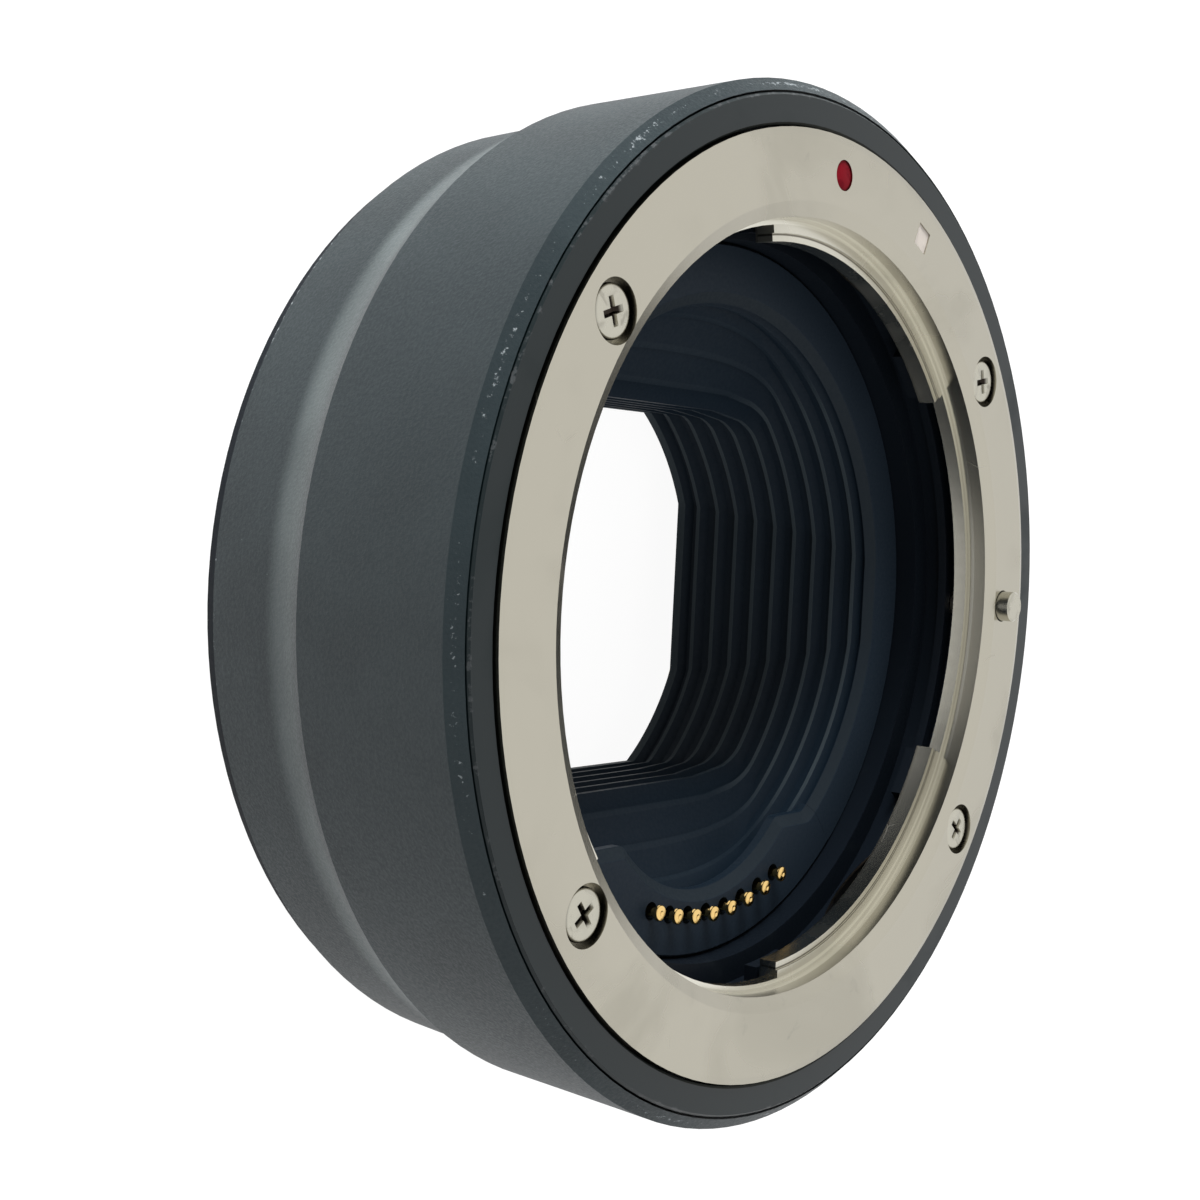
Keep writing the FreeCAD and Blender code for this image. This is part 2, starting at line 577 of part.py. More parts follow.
def make_inner_chassis():
    """Main frame: stepped front bore, web for the baffle, thin tube, and rear wall."""
    tube_inner = S.chassis_radius - S.chassis_wall
    hub_bore = S.hub_radius + 2 * S.running_fit
    frame = turned("chassis_frame", [
        (hub_bore, S.spring_seat),
        (hub_bore, RING_SEAT),
        (S.chassis_radius, RING_SEAT),
        (S.chassis_radius, S.lip_height),
        (S.chassis_collar, S.lip_height),
        (S.chassis_collar, S.spring_seat),
        (S.chassis_radius, S.spring_seat),
        (S.chassis_radius, S.mount_plate),
        (S.rear_bore, S.mount_plate),
        (S.rear_bore, REAR_WALL_TOP),
        (tube_inner, REAR_WALL_TOP),
        (tube_inner, WEB_BOTTOM),
        (S.web_bore, WEB_BOTTOM),
        (S.web_bore, S.web_height),
        (S.floor_radius, S.web_height),
        (S.floor_radius, S.ledge_height),
        (S.ledge_radius, S.ledge_height),
        (S.ledge_radius, S.spring_seat),
    ])
    boss = box("spring_boss",
               (S.lock_circle - 2 * S.coil_radius, -S.pocket_half_width, S.pocket_floor - S.boss_thickness),
               (S.chassis_radius - S.chassis_wall / 2, S.pocket_half_width, S.pocket_floor))
    ears = holes_around("shield_ear", S.ear_radius, S.rear_wall,
                        S.shield_screw_circle, SHIELD_SCREWS, S.mount_plate)
    ears += [frame_ear("shield_ear_root_%d" % (i + 1), angle) for i, angle in enumerate(SHIELD_SCREWS)]
    pocket = box("carrier_pocket",
                 (S.lock_circle - S.lock_pin_radius - S.pocket_room, -S.pocket_half_width, S.pocket_floor),
                 (S.chassis_collar + PAST, S.pocket_half_width, S.pocket_roof))
    window = turned("block_window", rectangle(
        S.block_inner - S.seat_gap, S.block_outer + S.seat_gap / 2,
        WEB_BOTTOM - PAST, S.web_height + PAST),
        S.block_sweep + 2 * S.window_margin, S.contact_angle)
    tools = [pocket, window]
    tools += holes_around("lens_thread", S.screw_shank_radius, S.screw_length,
                          S.lens_screw_circle, LENS_SCREWS,
                          LENS_FLANGE - S.counterbore_depth - S.screw_length - S.thread_spare)
    tools += holes_around("lock_guide", S.lock_pin_radius + S.running_fit, LENS_FLANGE - S.pocket_roof,
                          S.lock_circle, [ZERO], S.pocket_roof - PAST)
    tools += holes_around("camera_thread", S.camera_shank_radius, S.camera_screw_length + PAST,
                          S.camera_screw_circle, CAMERA_SCREWS, ZERO)
    tools += holes_around("plate_thread", S.plate_shank_radius, S.plate_screw_length + 2 * PAST,
                          S.plate_screw_circle, PLATE_SCREWS, ZERO)
    tools += holes_around("baffle_hole", S.baffle_shank_radius, S.web_thickness + 2 * PAST,
                          S.baffle_screw_circle, BAFFLE_SCREWS, WEB_BOTTOM - PAST)
    tools += holes_around("shield_thread", S.shield_shank_radius, S.rear_wall + 2 * PAST,
                          S.shield_screw_circle, SHIELD_SCREWS, S.mount_plate - PAST)
    return cut("inner_chassis", fuse("chassis_blank", [frame, boss] + ears), tools)


def frame_ear(name, angle):
    """The straight part of an ear, from its screw out to the rear wall."""
    root = doc.addObject("Part::Box", name)
    bind(root, Length=S.rear_bore - S.shield_screw_circle + PAST, Width=2 * S.ear_radius, Height=S.rear_wall)
    x = S.shield_screw_circle * cosine(angle) + S.ear_radius * sine(angle)
    y = S.shield_screw_circle * sine(angle) - S.ear_radius * cosine(angle)
    return place(root, x, y, S.mount_plate, angle)


def make_spring_ring():
    """Black ring under the lens ring, with two stops behind each tab."""
    top = S.spring_seat + S.spring_ring_thickness
    ring = turned("spring_ring_band", rectangle(
        S.spring_ring_inner, S.spring_ring_outer, S.spring_seat, top))
    stops = [turned("spring_stop_%d" % (i + 1), rectangle(
        S.stop_inner, S.spring_ring_outer, S.spring_seat, S.spring_seat + S.stop_height),
        S.stop_sweep, angle) for i, angle in enumerate(SIX_STOPS)]
    way = holes_around("spring_ring_notch", S.lock_pin_radius + 2 * S.running_fit,
                       S.spring_ring_thickness + 2 * PAST, S.lock_circle, [ZERO], S.spring_seat - PAST)
    return cut("spring_ring", fuse("spring_ring_blank", [ring] + stops), way)


def make_leaf_spring(index, angle):
    """Bronze leaf, bowed up between its two ends, on the main frame's ledge."""
    half = S.leaf_half_length.number
    bow = S.leaf_bow.number
    thick = S.leaf_thickness.number
    foot = S.ledge_height.number
    inner = S.leaf_inner.number
    outer = math.sqrt(S.leaf_outer.number ** 2 - half ** 2)
    inner = math.sqrt(inner ** 2 - half ** 2)
    lower = Part.Arc(FreeCAD.Vector(0, -half, foot), FreeCAD.Vector(0, 0, foot + bow),
                     FreeCAD.Vector(0, half, foot)).toShape()
    upper = Part.Arc(FreeCAD.Vector(0, half, foot + thick), FreeCAD.Vector(0, 0, foot + bow + thick),
                     FreeCAD.Vector(0, -half, foot + thick)).toShape()
    rise = FreeCAD.Vector(0, 0, thick)
    ends = [Part.makeLine(FreeCAD.Vector(0, side * half, foot),
                          FreeCAD.Vector(0, side * half, foot) + rise) for side in (-1, 1)]
    face = Part.Face(Part.Wire(Part.__sortEdges__([lower, upper] + ends)))
    leaf = face.extrude(FreeCAD.Vector(S.leaf_outer.number + 1, 0, 0))
    band = Part.makeCylinder(S.leaf_outer.number, 3 * bow, FreeCAD.Vector(0, 0, foot - bow))
    core = Part.makeCylinder(S.leaf_inner.number, 3 * bow, FreeCAD.Vector(0, 0, foot - bow))
    shape = leaf.common(band).cut(core)
    shape.rotate(FreeCAD.Vector(), Z_AXIS, angle.number)
    return fixed("leaf_spring_%d" % index, shape)


# Light baffle

def gate_wire(half_width, half_height, corner, height):
    """A rectangle whose corners are clipped by a circle about the optical axis."""
    flat_x = math.sqrt(corner ** 2 - half_height ** 2)
    flat_y = math.sqrt(corner ** 2 - half_width ** 2)
    middle = math.radians(45) if flat_x > half_width else (
        math.atan2(half_height, flat_x) + math.atan2(flat_y, half_width)) / 2
    edges = []
    for sx, sy in ((1, 1), (-1, 1), (-1, -1), (1, -1)):
        side = FreeCAD.Vector(sx * half_width, sy * flat_y, height)
        top = FreeCAD.Vector(sx * flat_x, sy * half_height, height)
        between = FreeCAD.Vector(sx * corner * math.cos(middle), sy * corner * math.sin(middle), height)
        ends = (side, between, top) if sx * sy > 0 else (top, between, side)
        edges.append(Part.Arc(*ends).toShape())
        following = (FreeCAD.Vector(-flat_x, half_height, height) if (sx, sy) == (1, 1) else
                     FreeCAD.Vector(-half_width, -flat_y, height) if (sx, sy) == (-1, 1) else
                     FreeCAD.Vector(flat_x, -half_height, height) if (sx, sy) == (-1, -1) else
                     FreeCAD.Vector(half_width, flat_y, height))
        edges.append(Part.makeLine(ends[2], following))
    return Part.Wire(edges)


def gate_sizes(share):
    """Half width, half height and corner circle, from the rear opening (0) to the mouth (1)."""
    mouth = S.mouth_radius.number
    nearly = mouth * 0.985
    width = S.gate_half_width.number + (nearly - S.gate_half_width.number) * share ** 3
    height = S.gate_half_height.number + (nearly - S.gate_half_height.number) * share ** 4
    corner = S.gate_corner.number + (mouth - S.gate_corner.number) * math.sqrt(share)
    return width, height, corner


def rib_levels():
    """Each rib edge's number, its height, and the distance between two of them."""
    count = int(S.rib_count.number)
    rear = S.baffle_rear.number
    pitch = (S.baffle_front.number - rear) / count
    return [(i, count, rear + pitch * i, pitch) for i in range(count + 1)]


def baffle_shell(gap):
    """The outside of the light trap, grown by a gap."""
    skin = S.rib_depth.number + S.baffle_wall.number + gap
    wires = []
    for i, count, level, _ in rib_levels():
        if i in (0, count // 2, count - 1, count):
            width, height, corner = gate_sizes(i / count)
            wires.append(gate_wire(width + skin, height + skin, corner + skin, level))
    return Part.makeLoft(wires, True, True)


def make_light_baffle():
    """Ribbed light trap: a clipped rectangle at the rear that opens to a circle at the front.

    Each rib has a sharp edge towards the light; behind it the wall steps out to a channel
    and slopes back in to the next edge. The whole inner form is one ruled loft.
    """
    deep = S.rib_depth.number
    past = PAST.number
    wires = []
    for i, count, level, pitch in rib_levels():
        width, height, corner = gate_sizes(i / count)
        if i == 0:
            wires.append(gate_wire(width, height, corner, level - past))
        else:
            wires.append(gate_wire(width + deep, height + deep, corner + deep,
                                   level - S.rib_slope.number * pitch))
        wires.append(gate_wire(width, height, corner, level if i < count else level + past))
    inner = Part.makeLoft(wires, True, True)
    flange = Part.makeCylinder(S.baffle_flange_radius.number, (S.baffle_front - S.web_height).number,
                               FreeCAD.Vector(0, 0, S.web_height.number))
    body = fixed("baffle_body", baffle_shell(0).fuse(flange).removeSplitter().cut(inner))
    window = turned("baffle_window", rectangle(
        S.block_inner - S.seat_gap, S.baffle_flange_radius + PAST,
        BACKING_BOTTOM - 2 * S.seat_gap, S.baffle_front + PAST),
        S.block_sweep + 2 * S.window_margin, S.contact_angle)
    threads = holes_around("baffle_thread", S.baffle_shank_radius, S.baffle_screw_length - S.web_thickness,
                           S.baffle_screw_circle, BAFFLE_SCREWS, S.web_height)
    return cut("light_baffle", body, [window] + threads)


def make_baffle_screws():
    """Small screws that hold the baffle's flange to the web, put in from behind."""
    one = screw_blank("baffle_screw_blank", S.baffle_head_radius, S.baffle_head_height,
                      S.baffle_shank_radius, S.baffle_screw_length, S.baffle_head_height / 4)
    one.Placement = FreeCAD.Placement(FreeCAD.Vector(), FreeCAD.Rotation(X_AXIS, 180))
    return copies_around("baffle_screws", one, S.baffle_screw_circle, BAFFLE_SCREWS, WEB_BOTTOM)


# Front contacts

def make_front_contact_block():
    """Moulded block that guides the eight sprung contacts."""
    blank = turned("contact_block_blank", [
        (S.block_inner, BLOCK_BOTTOM),
        (S.block_flange, BLOCK_BOTTOM),
        (S.block_flange, WEB_BOTTOM),
        (S.block_outer, WEB_BOTTOM),
        (S.block_outer, S.block_face),
        (S.block_inner, S.block_face),
    ], S.block_sweep, S.contact_angle)
    holes = holes_around("contact_hole", S.contact_radius + S.running_fit,
                         S.block_face - BLOCK_BOTTOM + 2 * PAST,
                         S.contact_circle, CONTACTS, BLOCK_BOTTOM - PAST)
    return cut("front_contact_block", blank, holes)


def make_contact_pin(index, angle):
    """Gold plunger with a ball tip on a thinner neck."""
    ball = S.contact_radius
    centre = S.contact_tip - ball
    under = centre - cosine(asin_of(S.contact_neck / ball)) * ball
    pin = turned("contact_pin_%d" % index, [
        (ZERO, S.contact_foot),
        (ball, S.contact_foot),
        (ball, under - S.contact_neck_length),
        (S.contact_neck, under - S.contact_neck_length / 2),
        (S.contact_neck, under),
        (ball, centre),
        (0.75 * ball, centre + 0.66 * ball),
        (ZERO, S.contact_tip),
    ])
    return around(pin, S.contact_circle, angle)


def make_contact_backing():
    """Plate that closes the contact block from behind."""
    return turned("contact_backing", rectangle(
        S.backing_inner, S.backing_outer, BACKING_BOTTOM, BLOCK_BOTTOM), S.block_sweep, S.contact_angle)


def make_flex_circuit():
    """Flexible circuit from the contact backing down to the circuit board."""
    under = BACKING_BOTTOM - S.ribbon_thickness
    return turned("flex_circuit", [
        (S.backing_inner + S.ribbon_overlap, under),
        (S.ribbon_radius - S.ribbon_thickness, under),
        (S.ribbon_radius - S.ribbon_thickness, BOARD_TOP),
        (S.ribbon_radius, BOARD_TOP),
        (S.ribbon_radius, BACKING_BOTTOM),
        (S.backing_inner + S.ribbon_overlap, BACKING_BOTTOM),
    ], S.ribbon_sweep, S.contact_angle)


def make_circuit_board():
    return turned("circuit_board", rectangle(
        S.board_inner, S.board_outer, REAR_WALL_TOP, BOARD_TOP), S.board_sweep, REAR_CONTACT_ANGLE)


def make_rear_flex():
    """Short flexible circuit from the board to the rear contact block."""
    return turned("rear_flex", rectangle(
        S.rear_bore, S.board_inner + S.ribbon_overlap, BOARD_TOP, BOARD_TOP + S.ribbon_thickness),
        S.ribbon_sweep * 2, REAR_CONTACT_ANGLE)


def make_rear_contact_block():
    """Block inside the camera ring's neck that carries the pads for the camera."""
    return turned("rear_contact_block", [
        (S.rear_block_inner, S.rear_block_face),
        (S.rear_block_outer, S.rear_block_face),
        (S.rear_block_outer, REAR_WALL_TOP),
        (S.rear_block_flange, REAR_WALL_TOP),
        (S.rear_block_flange, BOARD_TOP),
        (S.rear_block_inner, BOARD_TOP),
    ], S.rear_block_sweep, REAR_CONTACT_ANGLE)


def make_rear_contact_pads():
    half = S.pad_length / 2
    pad = box("rear_pad", (-half, -S.pad_width / 2, -S.pad_thickness), (half, S.pad_width / 2, ZERO))
    count = int(S.pad_count.number)
    angles = [REAR_CONTACT_ANGLE + S.pad_pitch * (i - (count - 1) / 2) for i in range(count)]
    circle = (S.rear_block_inner + S.rear_block_outer) / 2
    return copies_around("rear_contact_pads", pad, circle, angles, S.rear_block_face)


# Camera side

def make_camera_mount_ring():
    """Steel bayonet ring of the camera side: plate, neck and three lugs."""
    bevel = S.ring_bevel_width
    plate = turned("camera_ring_plate", [
        (S.neck_bore, -S.neck_length),
        (S.neck_radius, -S.neck_length),
        (S.neck_radius, ZERO),
        (S.camera_plate_radius - bevel, ZERO),
        (S.camera_plate_radius, bevel),
        (S.camera_plate_radius, S.mount_plate),
        (S.neck_bore, S.mount_plate),
    ])
    lugs = [turned("camera_lug_%d" % (i + 1), rectangle(
        (S.neck_bore + S.neck_radius) / 2, S.lug_radius, -S.lug_rear, -S.lug_front),
        S.lug_sweep, angle) for i, angle in enumerate(CAMERA_LUGS)]
    sinks = [around(camera_screw_cone("camera_sink_%d" % (i + 1), S.running_fit), S.camera_screw_circle, angle)
             for i, angle in enumerate(CAMERA_SCREWS)]
    notch = holes_around("camera_notch", S.notch_radius, S.notch_depth + PAST,
                         S.camera_screw_circle, [S.notch_angle], -PAST)
    return cut("camera_mount_ring", fuse("camera_ring_blank", [plate] + lugs), sinks + notch)


def camera_screw_cone(name, gap):
    """A countersunk screw on its own axis, flat end at z = 0, grown by a gap."""
    reach = S.camera_screw_length if gap is None else S.mount_plate + PAST
    grow = ZERO if gap is None else gap
    below = ZERO if gap is None else -PAST
    outline = [(ZERO, below), (S.camera_head_radius + grow, below)]
    if gap is not None:
        outline.append((S.camera_head_radius + grow, ZERO))
    outline += [(S.camera_shank_radius + grow, S.camera_head_height),
                (S.camera_shank_radius + grow, reach), (ZERO, reach)]
    return turned(name, outline)


def make_camera_mount_screws():
    blank = camera_screw_cone("camera_screw_blank", None)
    half, arm = S.cross_span / 2, S.cross_width / 2
    bars = [box("camera_cross_x", (-half, -arm, -PAST), (half, arm, S.cross_depth)),
            box("camera_cross_y", (-arm, -half, -PAST), (arm, half, S.cross_depth))]
    return copies_around("camera_mount_screws", cut("camera_screw", blank, bars),
                         S.camera_screw_circle, CAMERA_SCREWS)


def make_rear_plate():
    """Black plate between the camera ring and the cover, held by four small screws."""
    plate = turned("rear_plate_band", [
        (S.plate_inner, S.plate_depth),
        (S.plate_outer - S.plate_edge, S.plate_depth),
        (S.plate_outer, S.plate_depth + S.plate_edge),
        (S.plate_outer, S.mount_plate),
        (S.plate_inner, S.mount_plate),
    ])
    sunk = S.plate_depth + S.plate_head_height + S.seat_gap
    tools = holes_around("plate_hole", S.plate_shank_radius + S.running_fit, S.mount_plate + 2 * PAST,
                         S.plate_screw_circle, PLATE_SCREWS, -PAST)
    tools += holes_around("plate_sink", S.plate_head_radius + S.running_fit, sunk + PAST,
                          S.plate_screw_circle, PLATE_SCREWS, -PAST)
    return cut("rear_plate", plate, tools)


def make_rear_plate_screws():
    one = screw_blank("plate_screw_blank", S.plate_head_radius, S.plate_head_height,
                      S.plate_shank_radius, S.plate_screw_length, S.plate_head_height / 4)
    one.Placement = FreeCAD.Placement(FreeCAD.Vector(), FreeCAD.Rotation(X_AXIS, 180))
    seat = S.plate_depth + S.plate_head_height + S.seat_gap
    return copies_around("rear_plate_screws", one, S.plate_screw_circle, PLATE_SCREWS, seat)


def make_rear_light_shield():
    """Black cover that closes the ring between the baffle's rear end and the neck."""
    face = S.mount_plate - S.shield_thickness
    disc = bind(doc.addObject("Part::Cylinder", "shield_disc"),
                Radius=S.neck_bore - S.seat_gap, Height=S.shield_thickness)
    place(disc, z=face)
    window = turned("shield_window", rectangle(
        S.rear_block_inner - S.seat_gap, S.neck_bore + PAST, face - PAST, S.mount_plate + PAST),
        S.rear_block_sweep + 2 * S.window_margin, REAR_CONTACT_ANGLE)
    tools = [fixed("shield_opening", baffle_shell(S.seat_gap.number)), window]
    tools += holes_around("shield_hole", S.shield_shank_radius + S.running_fit,
                          S.shield_thickness + 2 * PAST, S.shield_screw_circle, SHIELD_SCREWS, face - PAST)
    return cut("rear_light_shield", disc, tools)


def make_shield_screws():
    one = screw_blank("shield_screw_blank", S.shield_head_radius, S.shield_head_height,
                      S.shield_shank_radius, S.shield_screw_length, S.shield_head_height / 4)
    one.Placement = FreeCAD.Placement(FreeCAD.Vector(), FreeCAD.Rotation(X_AXIS, 180))
    seat = S.mount_plate - S.shield_thickness
    return copies_around("shield_screws", one, S.shield_screw_circle, SHIELD_SCREWS, seat)


# Lens release

def make_lock_pin():
    tip = LENS_FLANGE + S.lock_pin_rise
    edge = S.lock_pin_radius / 8
    pin = turned("lock_pin", [
        (ZERO, S.carrier_top),
        (S.lock_pin_radius, S.carrier_top),
        (S.lock_pin_radius, tip - edge),
        (S.lock_pin_radius - edge, tip),
        (ZERO, tip),
    ])
    return around(pin, S.lock_circle, ZERO)


def make_pin_carrier():
    """Bar from the lock pin's foot out through the cover's slot."""
    low = S.carrier_top - S.carrier_thickness
    return box("pin_carrier",
               (S.lock_circle - S.lock_pin_radius - S.pocket_room / 2, -S.carrier_half_width, low),
               (S.knob_back - S.stem_length, S.carrier_half_width, S.carrier_top))


def make_release_knob():
    """Thumb slider on the side of the cover, grooved across, on a short stem."""
    middle = S.carrier_top - S.carrier_thickness / 2
    low = middle - S.knob_height / 2
    pad = box("knob_pad", (S.knob_back, -S.knob_half_width, low),
              (S.knob_face, S.knob_half_width, low + S.knob_height))
    inside = (S.knob_face - S.knob_back) / 4
    stem = box("knob_stem",
               (S.knob_back - S.stem_length, -S.carrier_half_width, S.carrier_top - S.carrier_thickness),
               (S.knob_back + inside, S.carrier_half_width, S.carrier_top))
    whole = fuse("knob_whole", [pad, stem])
    doc.recompute()
    count = int(S.knob_rib_count.number)
    pitch = S.knob_height / (count + 1)
    grooves = []
    for i in range(count):
        groove = cylinder("knob_groove_%d" % (i + 1), pitch / 3, 4 * S.knob_half_width)
        groove.Placement.Rotation = FreeCAD.Rotation(X_AXIS, -90)
        for path, size in (("x", S.knob_face + pitch / 12), ("y", -2 * S.knob_half_width),
                           ("z", low + pitch * (i + 1))):
            groove.setExpression("Placement.Base." + path, size.text)
        grooves.append(groove)
    return cut("release_knob", whole, grooves)


def make_lock_spring():
    """Coil that pushes the carrier and its pin back up."""
    low = S.pocket_floor.number + S.coil_wire_radius.number
    high = S.carrier_top.number - S.carrier_thickness.number - S.coil_wire_radius.number
    pitch = (high - low) / S.coil_turns.number
    path = Part.Wire(Part.makeHelix(pitch, high - low, S.coil_radius.number).Edges)
    start = FreeCAD.Vector(S.coil_radius.number, 0, 0)
    ring = Part.Wire(Part.Circle(start, FreeCAD.Vector(0, 1, 0), S.coil_wire_radius.number).toShape())
    coil = path.makePipeShell([ring], True, True)
    spring = fixed("lock_spring", coil)
    spring.Placement = FreeCAD.Placement(FreeCAD.Vector(S.lock_circle.number, 0, low), FreeCAD.Rotation())
    return spring


# The sub-parts, each exported under its own name

PARTS = [
    make_outer_barrel(),
    make_front_trim_ring(),
    make_lens_mount_ring(),
    make_red_index_dot(),
    index_square("white_index_square", S.index_fill),
    make_lens_mount_screws(),
    make_inner_chassis(),
    make_spring_ring(),
    make_light_baffle(),
    make_baffle_screws(),
    make_front_contact_block(),
    make_contact_backing(),
    make_flex_circuit(),
    make_circuit_board(),
    make_rear_flex(),
    make_rear_contact_block(),
    make_rear_contact_pads(),
    make_camera_mount_ring(),
    make_camera_mount_screws(),
    make_rear_plate(),
    make_rear_plate_screws(),
    make_rear_light_shield(),
    make_shield_screws(),
    make_lock_pin(),
    make_pin_carrier(),
    make_release_knob(),
    make_lock_spring(),
]
PARTS += [make_leaf_spring(i + 1, angle) for i, angle in enumerate(TABS)]
PARTS += [make_contact_pin(i + 1, angle) for i, angle in enumerate(CONTACTS)]

doc.recompute()

for thing in doc.Objects:
    if "Invalid" in thing.State or "Error" in thing.State:
        raise RuntimeError("%s failed: %s" % (thing.Name, thing.State))

os.makedirs("parts", exist_ok=True)
for part in PARTS:
    shape = part.Shape
    if shape.isNull() or not shape.isValid():
        raise RuntimeError("%s has no valid shape" % part.Name)
    part.Label = part.Name
    shape.exportStep("parts/%s.step" % part.Label)
    size = shape.BoundBox
    print("%-22s solids %d  volume %8.2f  z %6.2f to %6.2f" % (
        part.Label, len(shape.Solids), shape.Volume, size.ZMin, size.ZMax))
print("written", len(PARTS), "parts")
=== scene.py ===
# %% [markdown]
# # Lens mount adapter: finishes, fasteners and light
#
# The adapter is a short black tube. At the front it carries a satin steel bayonet ring for a lens,
# inside it is a ribbed black light trap with eight gold contacts, and at the rear it has a second,
# smaller bayonet. Its exact solids come in as a fixed frame, in metres: the origin is in the plane of
# the rear flange, +Z runs along the optical axis towards the lens, +X points at the lock pin and +Y at
# the red index. This lesson gives every surface its finish and models the parts that need finer edges
# than the solids have.

# %% Load the frame
import json
import math

import bmesh
import bpy
from mathutils import Matrix, Vector

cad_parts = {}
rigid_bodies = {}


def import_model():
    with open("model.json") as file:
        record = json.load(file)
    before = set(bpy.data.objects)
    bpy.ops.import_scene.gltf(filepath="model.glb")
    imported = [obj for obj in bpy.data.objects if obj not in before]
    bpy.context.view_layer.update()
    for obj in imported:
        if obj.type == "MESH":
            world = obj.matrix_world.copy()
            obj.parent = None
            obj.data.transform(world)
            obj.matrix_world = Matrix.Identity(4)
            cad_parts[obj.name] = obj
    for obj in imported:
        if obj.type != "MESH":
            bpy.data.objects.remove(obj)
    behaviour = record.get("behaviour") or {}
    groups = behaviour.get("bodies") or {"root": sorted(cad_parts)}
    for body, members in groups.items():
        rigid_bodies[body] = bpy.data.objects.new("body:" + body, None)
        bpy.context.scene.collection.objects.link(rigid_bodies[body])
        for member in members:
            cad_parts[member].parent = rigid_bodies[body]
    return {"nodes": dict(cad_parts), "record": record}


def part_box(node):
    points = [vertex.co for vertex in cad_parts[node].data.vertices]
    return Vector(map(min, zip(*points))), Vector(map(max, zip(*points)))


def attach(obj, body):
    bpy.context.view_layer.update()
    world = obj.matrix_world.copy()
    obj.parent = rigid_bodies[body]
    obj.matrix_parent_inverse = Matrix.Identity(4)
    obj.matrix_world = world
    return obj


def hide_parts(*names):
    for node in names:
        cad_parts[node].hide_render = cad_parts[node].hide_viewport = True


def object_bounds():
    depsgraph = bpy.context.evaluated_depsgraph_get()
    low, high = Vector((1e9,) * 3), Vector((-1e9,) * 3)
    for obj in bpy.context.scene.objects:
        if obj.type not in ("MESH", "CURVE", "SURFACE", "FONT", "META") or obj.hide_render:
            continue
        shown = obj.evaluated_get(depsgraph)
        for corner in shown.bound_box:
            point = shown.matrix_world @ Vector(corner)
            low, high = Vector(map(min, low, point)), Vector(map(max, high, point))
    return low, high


MM = 0.001  # one millimetre in metres

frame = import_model()
nodes = frame["nodes"]
cad_low, cad_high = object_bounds()
print("solids:", len(nodes), " size in mm:", [round(v / MM, 1) for v in cad_high - cad_low])

# %% [markdown]
# ## Camera
#
# The photograph looks into the front mouth from the left, and the adapter stands on its side in it.
# The camera could be aimed with a Track To constraint, but then its roll would have to be guessed.
# Its place and its two axes were found by fitting the circles of the two flanges, so they are written
# here as they came out, and the third axis is their cross product.

# %% Camera
CAMERA_AT = Vector((-105.12, 6.07, 88.6)) * MM
LOOKS_ALONG = Vector((0.7821, -0.0493, -0.6212)).normalized()
PICTURE_RIGHT = Vector((0.6231, 0.0483, 0.7807)).normalized()
SENSOR = 36.0
FOCAL_LENGTH = 53.43

camera_data = bpy.data.cameras.new("camera")
camera_data.sensor_width = SENSOR
camera_data.lens = FOCAL_LENGTH
camera_data.clip_start = 2 * MM
camera = bpy.data.objects.new("camera", camera_data)
bpy.context.scene.collection.objects.link(camera)
picture_up = PICTURE_RIGHT.cross(LOOKS_ALONG).normalized()
turn = Matrix((LOOKS_ALONG.cross(picture_up), picture_up, -LOOKS_ALONG)).transposed()
camera.matrix_world = Matrix.Translation(CAMERA_AT) @ turn.to_4x4()
bpy.context.scene.camera = camera
bpy.context.scene.view_settings.view_transform = "Standard"
print("camera is", round(CAMERA_AT.length / MM), "mm from the origin")

# %% [markdown]
# ## Helpers for shader trees
#
# Every material here is made of nodes. Writing `nodes.new` and `links.new` for each one hides the idea
# behind the bookkeeping, so four short helpers do it: one adds a node and fills its sockets, one does
# arithmetic, one maps a value from one range to another, and one blends two colours.

# %% Shader tree helpers
def add_node(tree, kind, inputs=None, **settings):
    """Adds a shader node. An input is a number, a colour or another node's socket."""
    made = tree.nodes.new("ShaderNode" + kind)
    for name, value in settings.items():
        setattr(made, name, value)
    for name, value in (inputs or {}).items():
        if isinstance(value, bpy.types.NodeSocket):
            tree.links.new(value, made.inputs[name])
        else:
            made.inputs[name].default_value = value
    return made


def maths(tree, operation, first, second=0.0):
    """One arithmetic step, as a socket."""
    return add_node(tree, "Math", {0: first, 1: second}, operation=operation).outputs[0]


def remap(tree, value, low, high, to_low=0.0, to_high=1.0):
    """Maps a value smoothly from one range to another, and holds it at its ends outside."""
    made = add_node(tree, "MapRange", {"Value": value, "From Min": low, "From Max": high,
                                       "To Min": to_low, "To Max": to_high},
                    interpolation_type="SMOOTHSTEP")
    return made.outputs["Result"]


def mix_colours(tree, share, first, second):
    """Two colours, blended by a share from 0 to 1."""
    made = add_node(tree, "Mix", {"Factor": share, 6: first, 7: second}, data_type="RGBA")
    return made.outputs[2]


# %% [markdown]
# ## Helpers for node groups
#
# An effect that several materials need is built once, as a node group. A copy of its nodes in each
# material would also work, but a change would then have to be made in every copy. One helper opens an
# empty group, and the other places a finished group in a tree and sets its inputs.

# %% Node group helpers
def new_group(name, inputs, outputs):
    """An empty node group: its tree, the sockets that come in and the sockets that go out."""
    tree = bpy.data.node_groups.new(name, "ShaderNodeTree")
    for title, value in inputs.items():
        socket = tree.interface.new_socket(title, in_out="INPUT", socket_type="NodeSocketFloat")
        socket.default_value = value
    for title in outputs:
        tree.interface.new_socket(title, in_out="OUTPUT", socket_type="NodeSocketFloat")
    return tree, tree.nodes.new("NodeGroupInput").outputs, tree.nodes.new("NodeGroupOutput").inputs


